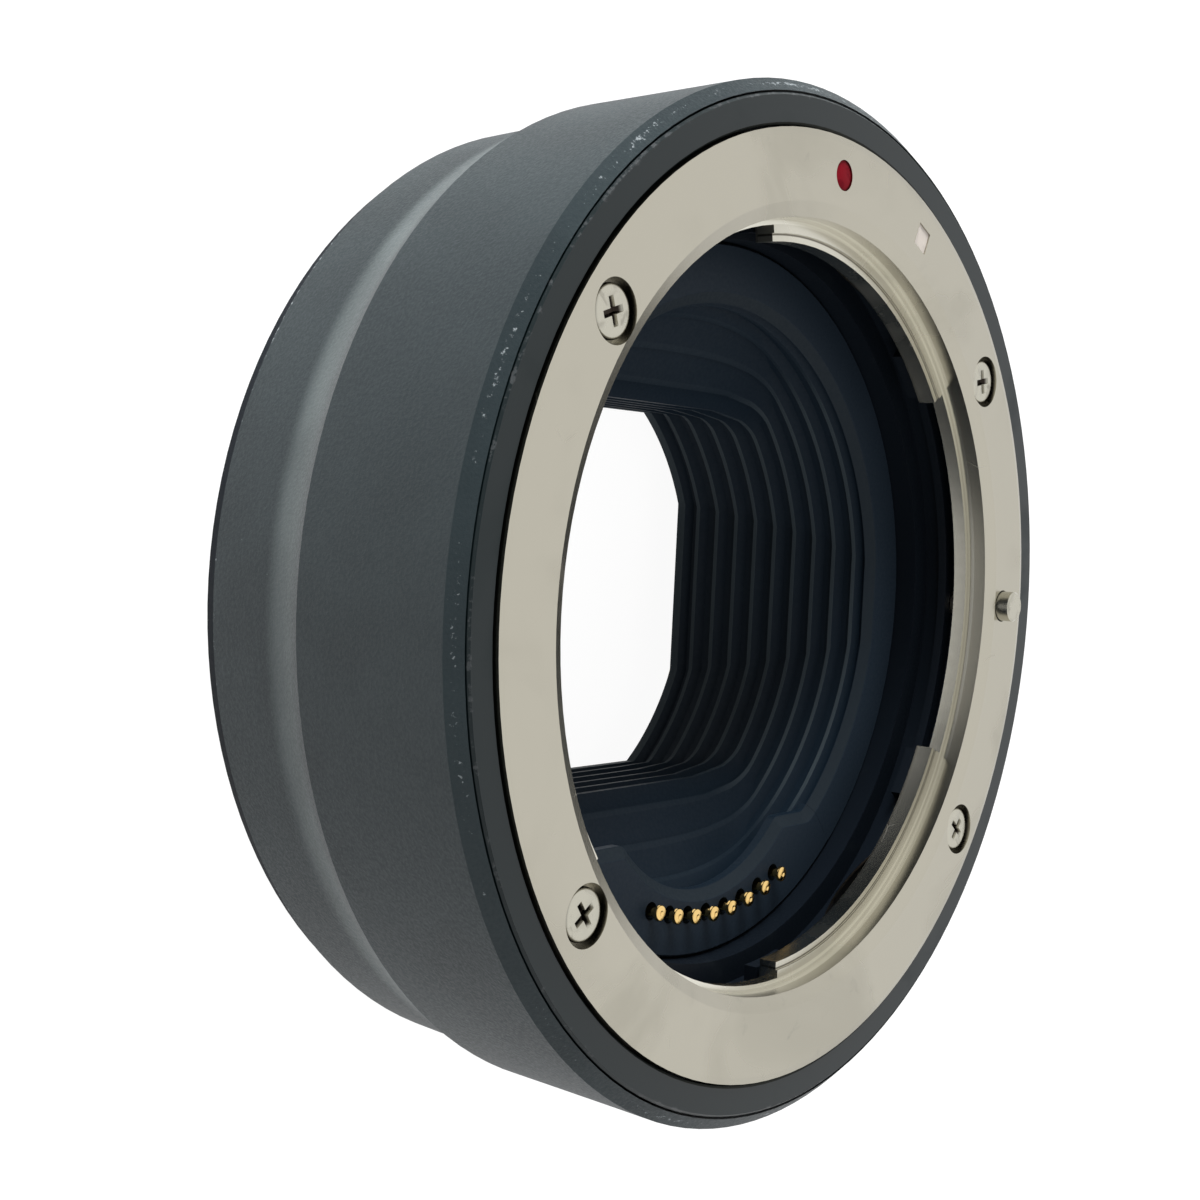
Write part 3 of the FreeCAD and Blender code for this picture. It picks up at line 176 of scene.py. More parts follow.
def use_group(tree, group, **values):
    """Places a group in a tree. Underscores in the names stand for spaces."""
    made = tree.nodes.new("ShaderNodeGroup")
    made.node_tree = group
    for name, value in values.items():
        socket = made.inputs[name.replace("_", " ")]
        if isinstance(value, bpy.types.NodeSocket):
            tree.links.new(value, socket)
        else:
            socket.default_value = value
    return made.outputs


# %% [markdown]
# ## Where am I on the adapter?
#
# Nearly everything here was turned on a lathe, so its marks follow circles. A UV map could carry them,
# but the solids have none. Object coordinates are enough: the distance from the optical axis, the
# height along it and the angle round it tell a shader where it is. One group works them out in
# millimetres, and the others build on it.

# %% Group: place on the adapter
place_group, _, place_out = new_group("place on the adapter", {}, ["Radius", "Height", "Angle"])
here = add_node(place_group, "TexCoord").outputs["Object"]
in_mm = add_node(place_group, "VectorMath", {0: here, "Scale": 1 / MM}, operation="SCALE").outputs[0]
split = add_node(place_group, "SeparateXYZ", {0: in_mm}).outputs
across = add_node(place_group, "CombineXYZ", {0: split[0], 1: split[1]}).outputs[0]
radius_mm = add_node(place_group, "VectorMath", {0: across}, operation="LENGTH").outputs["Value"]
place_group.links.new(radius_mm, place_out["Radius"])
place_group.links.new(split[2], place_out["Height"])
place_group.links.new(maths(place_group, "ARCTAN2", split[1], split[0]), place_out["Angle"])
print("group:", place_group.name)

# %% [markdown]
# ## Shared effects
#
# Real finishes are never one flat value. Most of the five effects below come back in several
# materials, so each is a node group with its own settings, and each gives only a mask or a height: the
# material decides what to do with it. Noise on Object coordinates works on every solid without
# unwrapping it.

# %% [markdown]
# ### Paint grain
#
# Textured paint is sprayed on in coarse droplets. A displaced mesh would need millions of faces, so a
# fine noise gives the height for a bump. A second noise, much broader, gives the slow change of tone
# that handling leaves.

# %% Group: paint grain
BROAD_SHARE = 0.03  # density of the slow tone against that of the grain

grain_group, grain_in, grain_out = new_group("paint grain", {"Grain": 0.3}, ["Height", "Tone"])
here = add_node(grain_group, "TexCoord").outputs["Object"]
density = maths(grain_group, "DIVIDE", 1 / MM, grain_in["Grain"])
slow = maths(grain_group, "MULTIPLY", density, BROAD_SHARE)
fine = add_node(grain_group, "TexNoise",
                {"Vector": here, "Scale": density, "Detail": 3.0, "Roughness": 0.6}).outputs[0]
broad = add_node(grain_group, "TexNoise", {"Vector": here, "Scale": slow, "Detail": 2.0}).outputs[0]
grain_group.links.new(fine, grain_out["Height"])
grain_group.links.new(remap(grain_group, broad, 0.35, 0.65), grain_out["Tone"])
print("group:", grain_group.name, "with", len(grain_group.nodes), "nodes")

# %% [markdown]
# ### Smudges
#
# Fingers and wear leave soft, cloudy patches. They could be painted into a mask for each piece, but
# one noise that is cut at a level does for all of them: the more it should cover, the lower the cut.

# %% Group: smudges
CLEAN_LEVEL = 0.72  # the noise passes it only in a few spots
COVER_DROP = 0.4  # how far a full cover lowers the cut
SMUDGE_FADE = 0.22

smudge_group, smudge_in, smudge_out = new_group("smudges", {"Size": 8.0, "Cover": 0.5}, ["Mask"])
here = add_node(smudge_group, "TexCoord").outputs["Object"]
density = maths(smudge_group, "DIVIDE", 1 / MM, smudge_in["Size"])
cloud = add_node(smudge_group, "TexNoise", {"Vector": here, "Scale": density, "Detail": 4.0,
                                            "Roughness": 0.55, "Distortion": 0.6}).outputs[0]
lowered = maths(smudge_group, "MULTIPLY", smudge_in["Cover"], COVER_DROP)
start = maths(smudge_group, "SUBTRACT", CLEAN_LEVEL, lowered)
finish = maths(smudge_group, "ADD", start, SMUDGE_FADE)
smudge_group.links.new(remap(smudge_group, cloud, start, finish), smudge_out["Mask"])
print("group:", smudge_group.name, "with", len(smudge_group.nodes), "nodes")

# %% [markdown]
# ### Lathe marks
#
# A lathe leaves fine circles. Radius plus height changes across a face and along a wall alike, so a
# noise along that sum makes circles on both. A little of the angle goes into it as well, and lets each
# circle fade and come back, which a wave texture would not do.

# %% Group: lathe marks
DRIFT = 0.6  # how much of the angle goes into the marks

lathe_group, lathe_in, lathe_out = new_group("lathe marks", {"Pitch": 0.08}, ["Height"])
place = use_group(lathe_group, place_group)
along = maths(lathe_group, "ADD", place["Radius"], place["Height"])
count = maths(lathe_group, "DIVIDE", along, lathe_in["Pitch"])
fade = maths(lathe_group, "MULTIPLY", place["Angle"], DRIFT)
drift = add_node(lathe_group, "CombineXYZ", {0: count, 1: fade}).outputs[0]
marks = add_node(lathe_group, "TexNoise", {"Vector": drift, "Scale": 1.0, "Detail": 2.0}).outputs[0]
lathe_group.links.new(marks, lathe_out["Height"])
print("group:", lathe_group.name, "with", len(lathe_group.nodes), "nodes")

# %% [markdown]
# ### Hair scratches
#
# The steel ring is rubbed by every lens that is mounted. The borders of Voronoi cells are thin, nearly
# straight lines, a slow noise bends them a little, and another noise keeps only some of them.

# %% Group: hair scratches
BEND = 2 * MM
LINE_WIDTH = 0.012  # against the size of a cell
BARE_LEVEL = 0.75  # the noise passes it only in a few spots
AMOUNT_DROP = 0.3
SCRATCH_FADE = 0.06

scratch_group, scratch_in, scratch_out = new_group("hair scratches", {"Size": 3.0, "Amount": 0.5}, ["Mask"])
here = add_node(scratch_group, "TexCoord").outputs["Object"]
density = maths(scratch_group, "DIVIDE", 1 / MM, scratch_in["Size"])
slow = maths(scratch_group, "MULTIPLY", density, 0.6)
wander = add_node(scratch_group, "TexNoise", {"Vector": here, "Scale": slow, "Detail": 1.0}).outputs[1]
bent = add_node(scratch_group, "VectorMath", {0: wander, "Scale": BEND}, operation="SCALE").outputs[0]
moved = add_node(scratch_group, "VectorMath", {0: here, 1: bent}, operation="ADD").outputs[0]
cells = add_node(scratch_group, "TexVoronoi", {"Vector": moved, "Scale": density},
                 feature="DISTANCE_TO_EDGE").outputs["Distance"]
lines = remap(scratch_group, cells, 0.0, LINE_WIDTH, 1.0, 0.0)
where = add_node(scratch_group, "TexNoise", {"Vector": here, "Scale": density, "Detail": 2.0}).outputs[0]
lowered = maths(scratch_group, "MULTIPLY", scratch_in["Amount"], AMOUNT_DROP)
limit = maths(scratch_group, "SUBTRACT", BARE_LEVEL, lowered)
some = remap(scratch_group, where, limit, maths(scratch_group, "ADD", limit, SCRATCH_FADE))
scratch_group.links.new(maths(scratch_group, "MULTIPLY", lines, some), scratch_out["Mask"])
print("group:", scratch_group.name, "with", len(scratch_group.nodes), "nodes")

# %% [markdown]
# ### Worn edge
#
# Paint goes first where a turned edge is touched. Every edge here is a circle, so its radius and its
# height say where it is, and no baked map is needed: the mask is strong near that circle, and a chipped
# noise with a slow one over it breaks it into short worn places.

# %% Group: worn edge
PATCHES = 90.0  # density of the slow noise, per metre
UNEVEN = 0.9
CHIP_LEVELS = (0.72, 0.82)  # between them paint turns into wear

worn_group, worn_in, worn_out = new_group(
    "worn edge", {"Edge radius": 35.0, "Edge height": 22.0, "Width": 0.3, "Wear": 0.5, "Chip": 0.4}, ["Mask"])
place = use_group(worn_group, place_group)
squares = []
for name in ("Radius", "Height"):
    away = maths(worn_group, "SUBTRACT", place[name], worn_in["Edge " + name.lower()])
    squares.append(maths(worn_group, "POWER", away, 2.0))
distance = maths(worn_group, "SQRT", maths(worn_group, "ADD", *squares))
near = maths(worn_group, "SUBTRACT", 1.0, remap(worn_group, distance, 0.0, worn_in["Width"]))
here = add_node(worn_group, "TexCoord").outputs["Object"]
density = maths(worn_group, "DIVIDE", 1 / MM, worn_in["Chip"])
chips = add_node(worn_group, "TexNoise", {"Vector": here, "Scale": density, "Detail": 4.0,
                                          "Roughness": 0.7}).outputs[0]
slow = add_node(worn_group, "TexNoise", {"Vector": here, "Scale": PATCHES, "Detail": 1.0}).outputs[0]
uneven = maths(worn_group, "MULTIPLY", maths(worn_group, "SUBTRACT", slow, 0.5), UNEVEN)
reach = maths(worn_group, "MULTIPLY", near, maths(worn_group, "ADD", worn_in["Wear"], uneven))
level = maths(worn_group, "ADD", maths(worn_group, "MULTIPLY", reach, 0.5), chips)
worn_group.links.new(remap(worn_group, level, *CHIP_LEVELS), worn_out["Mask"])
print("group:", worn_group.name, "with", len(worn_group.nodes), "nodes")

# %% [markdown]
# ## Materials
#
# Each finish is one material: a Principled BSDF whose plain numbers stay on its own sockets, and whose
# colour, roughness and bump come from the effects above. Black finishes need care. Under a white sky a
# glossy black part reflects that sky, so its paint is written darker than it looks in the end.

# %% Material helpers
FINISHES = {}  # every finish by its name in the record


def new_material(name, metallic=0.0, specular=0.5):
    """A material with an empty Principled BSDF: its tree and the shader."""
    made = bpy.data.materials.new("finish_" + name)
    made.use_nodes = True
    FINISHES[name] = made
    tree = made.node_tree
    shader = tree.nodes["Principled BSDF"]
    shader.inputs["Metallic"].default_value = metallic
    shader.inputs["Specular IOR Level"].default_value = specular
    return tree, shader


def bump(tree, shader, height, strength, distance):
    """Feeds a height to the shader's normal. The distance is in millimetres."""
    made = add_node(tree, "Bump", {"Height": height, "Strength": strength, "Distance": distance * MM})
    tree.links.new(made.outputs[0], shader.inputs["Normal"])


def colour(red, green, blue):
    return (red, green, blue, 1.0)


def all_of(tree, *masks):
    """The product of several masks."""
    product = masks[0]
    for mask in masks[1:]:
        product = maths(tree, "MULTIPLY", product, mask)
    return product


# %% [markdown]
# ### Textured paint
#
# The cover is aluminium under rough black paint. Its droplets are a bump; a little sheen lights up the
# silhouette, as the sides of the droplets do. The front chamfer and the rear rim are worn, and the
# concave slope gets a painted highlight, a pale band where it would catch the light.

# %% Textured paint of the cover
TEXTURED_BLACK = colour(0.0090, 0.0150, 0.0175)
TEXTURED_LIGHTER = colour(0.0118, 0.0188, 0.0215)
WORN_PAINT = colour(0.17, 0.19, 0.20)
SLOPE_HIGHLIGHT = colour(0.12, 0.14, 0.14)
SLOPE_FOOT, SLOPE_TOP = 7.0, 10.8  # heights between which the concave slope gets a painted highlight
SLOPE_HIGHLIGHT_SHARES = (0.38, 0.50)
front_edge = {"Edge_radius": 35.2, "Edge_height": 23.1}  # the chamfer's outer edge, in mm
rear_edge = {"Edge_radius": 34.05, "Edge_height": 1.7}

tree, shader = new_material("textured_black", specular=0.3)
shader.inputs["Sheen Weight"].default_value = 0.09
shader.inputs["Sheen Roughness"].default_value = 0.45
grain = use_group(tree, grain_group, Grain=0.22)
tone = mix_colours(tree, grain["Tone"], TEXTURED_BLACK, TEXTURED_LIGHTER)
height = use_group(tree, place_group)["Height"]
# Painted highlight: the concave slope is painted paler, as if its paint caught the light.
slope_highlight = all_of(tree, remap(tree, height, SLOPE_FOOT - 0.4, SLOPE_FOOT + 1.2),
              remap(tree, height, SLOPE_TOP - 1.8, SLOPE_TOP, 1.0, 0.0),
              remap(tree, grain["Tone"], 0.0, 1.0, *SLOPE_HIGHLIGHT_SHARES))
tone = mix_colours(tree, slope_highlight, tone, SLOPE_HIGHLIGHT)
front = use_group(tree, worn_group, Width=0.5, Wear=0.27, Chip=0.35, **front_edge)
rear = use_group(tree, worn_group, Width=0.3, Wear=0.3, Chip=0.3, **rear_edge)
wear = maths(tree, "MAXIMUM", front["Mask"], rear["Mask"])
tree.links.new(mix_colours(tree, wear, tone, WORN_PAINT), shader.inputs["Base Color"])
tree.links.new(remap(tree, grain["Height"], 0.3, 0.7, 0.5, 0.66), shader.inputs["Roughness"])
bump(tree, shader, grain["Height"], 0.55, 0.05)
print("textured paint:", len(tree.nodes), "nodes")

# %% [markdown]
# ### Satin trim
#
# The ring round the steel is anodised smooth. Without the grain only its turning marks and a few greasy
# patches are left, and its outer edge is rubbed a little.

# %% Satin dark grey of the trim ring
TRIM_GREY = colour(0.003, 0.007, 0.008)
TRIM_RUBBED = colour(0.03, 0.034, 0.036)
trim_edge = {"Edge_radius": 34.5, "Edge_height": 23.65}

tree, shader = new_material("trim_grey", specular=0.33)
rubbed = use_group(tree, worn_group, Width=0.4, Wear=0.4, Chip=0.6, **trim_edge)
tree.links.new(mix_colours(tree, rubbed["Mask"], TRIM_GREY, TRIM_RUBBED), shader.inputs["Base Color"])
greasy = use_group(tree, smudge_group, Size=9.0, Cover=0.5)["Mask"]
tree.links.new(remap(tree, greasy, 0.0, 1.0, 0.34, 0.46), shader.inputs["Roughness"])
bump(tree, shader, use_group(tree, lathe_group, Pitch=0.12)["Height"], 0.12, 0.01)
print("trim:", len(tree.nodes), "nodes")

# %% [markdown]
# ### Satin steel
#
# Both bayonet rings are turned stainless steel with a warm, soft shine. The fronts of the tabs were cut
# with a shaped tool, which left two grooves and a ridge; the tabs are painted a polished, brighter tone,
# the ridge a painted highlight and the grooves painted shade. The screws' counterbores are darkened with
# painted shade. All of these are circles or steps, so the radius and the height are enough to find them.

# %% Places on the steel ring
TAB_RIM = 27.6  # radius of the wall that the tabs grow from, in mm
TAB_TOP, TAB_UNDER = 22.5, 20.5  # heights
TAB_GROOVES = (25.55, 26.95)  # radii of the tool's marks
TAB_RIDGE = 26.35
BORES_INNER, BORES_OUTER = 27.7, 31.6  # radii between which the counterbores lie
BORES_TOP = 23.86


def circle_mask(tree, radius, at, core, edge):
    """1 on a circle, fading to 0 between two distances from it."""
    away = maths(tree, "ABSOLUTE", maths(tree, "SUBTRACT", radius, at))
    return remap(tree, away, core, edge, 1.0, 0.0)


def tab_mask(tree, place):
    """1 on the steel tabs."""
    return all_of(tree, remap(tree, place["Radius"], TAB_RIM - 0.1, TAB_RIM + 0.1, 1.0, 0.0),
                  remap(tree, place["Height"], TAB_TOP, TAB_TOP + 0.1, 1.0, 0.0),
                  remap(tree, place["Height"], TAB_UNDER + 0.1, TAB_UNDER + 0.2))


def counterbore_shade(tree, place):
    """1 in the counterbores of the four screws, which are darkened with painted shade."""
    return all_of(tree, remap(tree, place["Height"], BORES_TOP, BORES_TOP + 0.09, 1.0, 0.0),
                  remap(tree, place["Radius"], BORES_INNER, BORES_INNER + 0.05),
                  remap(tree, place["Radius"], BORES_OUTER - 0.1, BORES_OUTER, 1.0, 0.0))


print("tabs between heights", TAB_UNDER, "and", TAB_TOP, "mm")

# %% Steel of the two bayonet rings
STEEL = colour(0.505, 0.48, 0.402)
STEEL_SMUDGED = colour(0.455, 0.432, 0.36)
STEEL_STAIN_AND_SHADE = colour(0.33, 0.315, 0.27)
STEEL_SHADED = colour(0.16, 0.145, 0.115)
STEEL_POLISH_AND_HIGHLIGHT = colour(0.80, 0.78, 0.69)
TAB_POLISH = 0.55  # how much of the bright tone the tabs have between the marks
SCRATCH_ROUGHNESS = 0.2

tree, shader = new_material("mount_steel", metallic=1.0)
place = use_group(tree, place_group)
smudged = use_group(tree, smudge_group, Size=16.0, Cover=0.6)["Mask"]
stained = use_group(tree, smudge_group, Size=2.2, Cover=0.3)["Mask"]
tone = mix_colours(tree, smudged, STEEL, STEEL_SMUDGED)
tone = mix_colours(tree, all_of(tree, stained, smudged), tone, STEEL_STAIN_AND_SHADE)
on_tab = tab_mask(tree, place)
# Painted highlight: a bright line on the ridge of the tabs.
ridge_highlight = all_of(tree, circle_mask(tree, place["Radius"], TAB_RIDGE, 0.08, 0.25), on_tab)
bright = maths(tree, "MAXIMUM", ridge_highlight, maths(tree, "MULTIPLY", on_tab, TAB_POLISH))
tone = mix_colours(tree, bright, tone, STEEL_POLISH_AND_HIGHLIGHT)
# Painted shade: the grooves of the tabs are darkened.
shaded_grooves = [circle_mask(tree, place["Radius"], at, 0.03, 0.1) for at in TAB_GROOVES]
shaded_grooves = maths(tree, "MAXIMUM", *shaded_grooves)
tone = mix_colours(tree, all_of(tree, shaded_grooves, on_tab), tone, STEEL_SHADED)
# Painted shade: the counterbores of the screws are darkened.
tone = mix_colours(tree, counterbore_shade(tree, place), tone, STEEL_STAIN_AND_SHADE)
tree.links.new(tone, shader.inputs["Base Color"])
scratched = use_group(tree, scratch_group, Size=5.0, Amount=0.35)["Mask"]
rough = maths(tree, "ADD", remap(tree, smudged, 0.0, 1.0, 0.24, 0.34),
              maths(tree, "MULTIPLY", scratched, SCRATCH_ROUGHNESS))
tree.links.new(rough, shader.inputs["Roughness"])
turned_marks = use_group(tree, lathe_group, Pitch=0.06)["Height"]
bump(tree, shader, maths(tree, "SUBTRACT", turned_marks, scratched), 0.10, 0.01)
print("mount steel:", len(tree.nodes), "nodes")

# %% [markdown]
# ### Screws
#
# The screws are plain steel too, but pressed and tumbled instead of turned, so they get a grain. Their
# crosses and the feet of their heads lie deep in recesses and are darkened with painted shade. It could be
# a second material on picked faces, but all four heads of the front ring are level, so the height alone
# tells it apart.

# %% Screw steel
SCREW_STEEL = colour(0.55, 0.53, 0.45)
SCREW_DULL = colour(0.41, 0.39, 0.33)
SCREW_SHADE = colour(0.04, 0.032, 0.026)
SHADE_TOP = 23.74  # height in mm
SHADE_FOOT = 22.5  # the screws of the rear ring lie below this height and get no painted shade

tree, shader = new_material("screw_steel", metallic=1.0)
dull = use_group(tree, smudge_group, Size=1.2, Cover=0.5)["Mask"]
height = use_group(tree, place_group)["Height"]
# Painted shade: the crosses and the feet of the heads are darkened, by height alone.
in_shade = all_of(tree, remap(tree, height, SHADE_TOP - 0.24, SHADE_TOP, 1.0, 0.0),
                  remap(tree, height, SHADE_FOOT, SHADE_FOOT + 0.1))
tone = mix_colours(tree, dull, SCREW_STEEL, SCREW_DULL)
tree.links.new(mix_colours(tree, in_shade, tone, SCREW_SHADE), shader.inputs["Base Color"])
tree.links.new(remap(tree, dull, 0.0, 1.0, 0.27, 0.42), shader.inputs["Roughness"])
bump(tree, shader, use_group(tree, grain_group, Grain=0.12)["Height"], 0.1, 0.01)
print("screw steel:", len(tree.nodes), "nodes")

# %% [markdown]
# ### Index paints
#
# The two marks are enamel that was dropped into recesses. It dries a little uneven, so colour and
# roughness share one small smudge. Both paints are the same but for their values, which asks for a
# function instead of a second tree.

# %% Index paints
RED_PAINT = colour(0.165, 0.003, 0.009)
RED_DARKER = colour(0.115, 0.002, 0.007)
WHITE_PAINT = colour(0.55, 0.50, 0.45)
WHITE_DARKER = colour(0.46, 0.41, 0.38)


def index_paint(name, main, darker, specular):
    """Enamel that was dropped into a recess, a little uneven."""
    tree, shader = new_material(name, specular=specular)
    uneven = use_group(tree, smudge_group, Size=1.0, Cover=0.5)["Mask"]
    tree.links.new(mix_colours(tree, uneven, main, darker), shader.inputs["Base Color"])
    tree.links.new(remap(tree, uneven, 0.0, 1.0, 0.35, 0.5), shader.inputs["Roughness"])
    bump(tree, shader, use_group(tree, grain_group, Grain=0.6)["Height"], 0.15, 0.02)
    print("index paint:", name)


index_paint("red_paint", RED_PAINT, RED_DARKER, 0.03)
index_paint("white_paint", WHITE_PAINT, WHITE_DARKER, 0.2)

# %% [markdown]
# ### Matt blacks
#
# The inner frame, the black screws and the slider are dull blacks that differ only in tone, shine and
# grain. Rubbed places are a touch paler. One function makes them all, and hands back the tree, because
# the light trap below adds more to it.

# %% Matt blacks
def matt_black(name, main, rubbed, roughness, grain_size, specular=0.3):
    """A dull black surface with a fine grain and a few paler rubbed places."""
    tree, shader = new_material(name, specular=specular)
    grain = use_group(tree, grain_group, Grain=grain_size)
    touched = use_group(tree, smudge_group, Size=4.0, Cover=0.3)["Mask"]
    tree.links.new(mix_colours(tree, touched, main, rubbed), shader.inputs["Base Color"])
    tree.links.new(remap(tree, grain["Height"], 0.3, 0.7, roughness - 0.06, roughness + 0.06),
                   shader.inputs["Roughness"])
    bump(tree, shader, grain["Height"], 0.25, 0.02)
    print("matt black:", name)
    return tree, shader


matt_black("frame_black", colour(0.004, 0.006, 0.009), colour(0.008, 0.011, 0.014), 0.5, 0.25, 0.15)
matt_black("screw_black", colour(0.012, 0.013, 0.015), colour(0.04, 0.04, 0.042), 0.38, 0.15)
matt_black("knob_black", colour(0.014, 0.016, 0.018), colour(0.03, 0.032, 0.034), 0.45, 0.2)

# %% [markdown]
# ### Light trap's black
#
# The ribbed trap is moulded in a bluish black that takes almost no shine. Each rib ends in a narrow
# land, and the lands and the rear edge get a painted highlight, a paler tone that is strongest at the
# sides. The ribs stand at an even pitch, so the fraction of height over pitch tells where a land is,
# and no face has to be picked by hand.

# %% Light trap's black
TRAP_BLACK = colour(0.0055, 0.011, 0.018)
TRAP_RUBBED = colour(0.0085, 0.015, 0.023)
RIB_LAND_HIGHLIGHT = colour(0.034, 0.045, 0.053)
LIP_COLOUR = colour(0.010, 0.015, 0.020)
FACE_COLOUR = colour(0.011, 0.0175, 0.026)
TRAP_REAR = -0.6  # height of the trap's rear edge in mm
TRAP_FRONT = 16.2
RIB_COUNT = 10
RIB_LAND = 0.28  # height of a land
LIP_HEIGHT = 15.6  # where the chamfer of the mouth starts
rib_pitch = (TRAP_FRONT - TRAP_REAR) / RIB_COUNT

tree, shader = matt_black("baffle_black", TRAP_BLACK, TRAP_RUBBED, 0.55, 0.3, 0.12)
plain = shader.inputs["Base Color"].links[0].from_socket
place = use_group(tree, place_group)
height = place["Height"]
steps = maths(tree, "DIVIDE", maths(tree, "SUBTRACT", height, TRAP_REAR - 0.02), rib_pitch)
above_land = maths(tree, "MULTIPLY", maths(tree, "FRACT", steps), rib_pitch)
sideways = maths(tree, "ABSOLUTE", maths(tree, "COSINE", place["Angle"]))  # 1 at the sides, where the painted highlight on the lands is strongest
# Painted highlight: the lands of the ribs and the trap's rear edge are painted paler, most at the sides.
land_highlight = all_of(tree, remap(tree, above_land, RIB_LAND + 0.02, RIB_LAND + 0.05, 1.0, 0.0),
                 remap(tree, height, LIP_HEIGHT - 0.4, LIP_HEIGHT - 0.3, 1.0, 0.0),
                 remap(tree, sideways, 0.5, 0.8, 0.12, 1.0))
rear_edge_highlight = remap(tree, height, 0.0, 0.05, 1.0, 0.0)
on_lip = all_of(tree, remap(tree, height, LIP_HEIGHT - 0.02, LIP_HEIGHT + 0.05),
                remap(tree, height, TRAP_FRONT - 0.04, TRAP_FRONT - 0.01, 1.0, 0.0))
on_face = remap(tree, height, TRAP_FRONT - 0.02, TRAP_FRONT - 0.005)
tone = mix_colours(tree, maths(tree, "MAXIMUM", land_highlight, rear_edge_highlight), plain, RIB_LAND_HIGHLIGHT)
tone = mix_colours(tree, on_lip, tone, LIP_COLOUR)
tree.links.new(mix_colours(tree, on_face, tone, FACE_COLOUR), shader.inputs["Base Color"])
print("ribs every", round(rib_pitch, 2), "mm")

# %% [markdown]
# ### Gold, bronze, film and board
#
# The contacts are plated with gold and the leaves are rolled bronze: two metals that differ in colour
# and polish. The flexible circuits and the board are hidden inside, so a plain sheet with a slight
# change of tone is enough for them.

# %% Gold, bronze, film and board
def plated(name, main, darker, roughness, size):
    """A plated or rolled metal with slightly duller patches."""
    tree, shader = new_material(name, metallic=1.0)
    dull = use_group(tree, smudge_group, Size=size, Cover=0.45)["Mask"]
    tree.links.new(mix_colours(tree, dull, main, darker), shader.inputs["Base Color"])
    tree.links.new(remap(tree, dull, 0.0, 1.0, roughness, roughness + 0.12), shader.inputs["Roughness"])
    bump(tree, shader, use_group(tree, grain_group, Grain=0.1)["Height"], 0.05, 0.01)


def sheet_plastic(name, main, paler, roughness):
    """A thin plastic sheet or a lacquered board."""
    tree, shader = new_material(name)
    tone = use_group(tree, grain_group, Grain=0.4)
    tree.links.new(mix_colours(tree, tone["Tone"], main, paler), shader.inputs["Base Color"])
    tree.links.new(remap(tree, tone["Height"], 0.3, 0.7, roughness - 0.05, roughness + 0.05),
                   shader.inputs["Roughness"])


plated("contact_gold", colour(0.90, 0.62, 0.24), colour(0.78, 0.50, 0.17), 0.12, 0.8)
plated("spring_bronze", colour(0.17, 0.135, 0.10), colour(0.10, 0.08, 0.06), 0.36, 1.5)
sheet_plastic("circuit_film", colour(0.30, 0.13, 0.03), colour(0.38, 0.18, 0.05), 0.35)
sheet_plastic("board_green", colour(0.012, 0.11, 0.045), colour(0.02, 0.16, 0.07), 0.4)
print("finishes:", sorted(FINISHES))

# %% [markdown]
# ## Dressing the solids
#
# The solids keep their shapes, and only their material slots change. The record names the finish of
# every solid, so one table from those names to the materials above dresses them all, and none can be
# forgotten.

# %% Dress every solid
slot_of = {part["node"]: part["material_slot"] for part in frame["record"]["subparts"]}

for name, solid in nodes.items():
    for material_slot in solid.material_slots:
        material_slot.material = FINISHES[slot_of[name]]
print("dressed", len(slot_of), "solids in", len(set(slot_of.values())), "finishes")

# %% [markdown]
# ## Turning small parts
#
# Screws, plungers and paint drops are all turned shapes. They could be cut from cylinders, but a lathe
# profile is closer to how they are made: the outline of one side is drawn by extruding a vertex from
# point to point, and spun once about its own axis.

# %% Lathe
def deselect_all():
    """Nothing is selected or being edited afterwards."""
    if bpy.context.object and bpy.context.object.mode != "OBJECT":
        bpy.ops.object.mode_set(mode="OBJECT")
    bpy.ops.object.select_all(action="DESELECT")


def turn_piece(name, outline, steps):
    """A solid turned about Z from (radius, height) points in millimetres, from its foot to its top."""
    deselect_all()
    bpy.ops.mesh.primitive_plane_add(size=MM, location=(0, 0, 0))
    piece = bpy.context.object
    piece.name = piece.data.name = name
    bpy.ops.object.mode_set(mode="EDIT")
    bpy.ops.mesh.merge(type="CENTER")
    at = Vector((outline[0][0] * MM, 0, outline[0][1] * MM))
    bpy.ops.transform.translate(value=at)
    for radius, height in outline[1:]:
        there = Vector((radius * MM, 0, height * MM))
        bpy.ops.mesh.extrude_vertices_move(TRANSFORM_OT_translate={"value": there - at})
        at = there
    bpy.ops.mesh.select_all(action="SELECT")
    bpy.ops.mesh.spin(steps=steps, angle=2 * math.pi, center=(0, 0, 0), axis=(0, 0, 1))
    bpy.ops.mesh.select_all(action="SELECT")
    bpy.ops.mesh.remove_doubles(threshold=0.0005 * MM)
    bpy.ops.mesh.normals_make_consistent(inside=False)
    bpy.ops.object.mode_set(mode="OBJECT")
    return piece


def arc_points(centre_radius, centre_height, size, start, end, count):
    """Points of an arc in the outline, from one angle to another in degrees."""
    angles = [math.radians(start + (end - start) * i / count) for i in range(count + 1)]
    return [(centre_radius + size * math.cos(a), centre_height + size * math.sin(a)) for a in angles]


# %% [markdown]
# ## Cutting and settling
#
# A recess is cut with a Boolean modifier. Its exact solver is slower than the fast one, but it copes
# with faces that touch. A finished piece is then settled: its place goes into its mesh, its sharp edges
# stay sharp while the rest is shaded smooth, it learns on which body it rides and which finish it has,
# and the solids that it stands for are hidden.

# %% Cutting and settling
def settle(piece, body, slot, *replaced):
    """Smooths a finished piece, ties it to its body and its finish, and hides the solids that it stands for.
    """
    deselect_all()
    piece.select_set(True)
    bpy.context.view_layer.objects.active = piece
    bpy.ops.object.transform_apply(location=True, rotation=True, scale=True)
    bpy.ops.object.shade_smooth_by_angle(angle=math.radians(35))
    piece.data.materials.clear()
    piece.data.materials.append(FINISHES[slot])
    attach(piece, body)
    if replaced:
        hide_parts(*replaced)


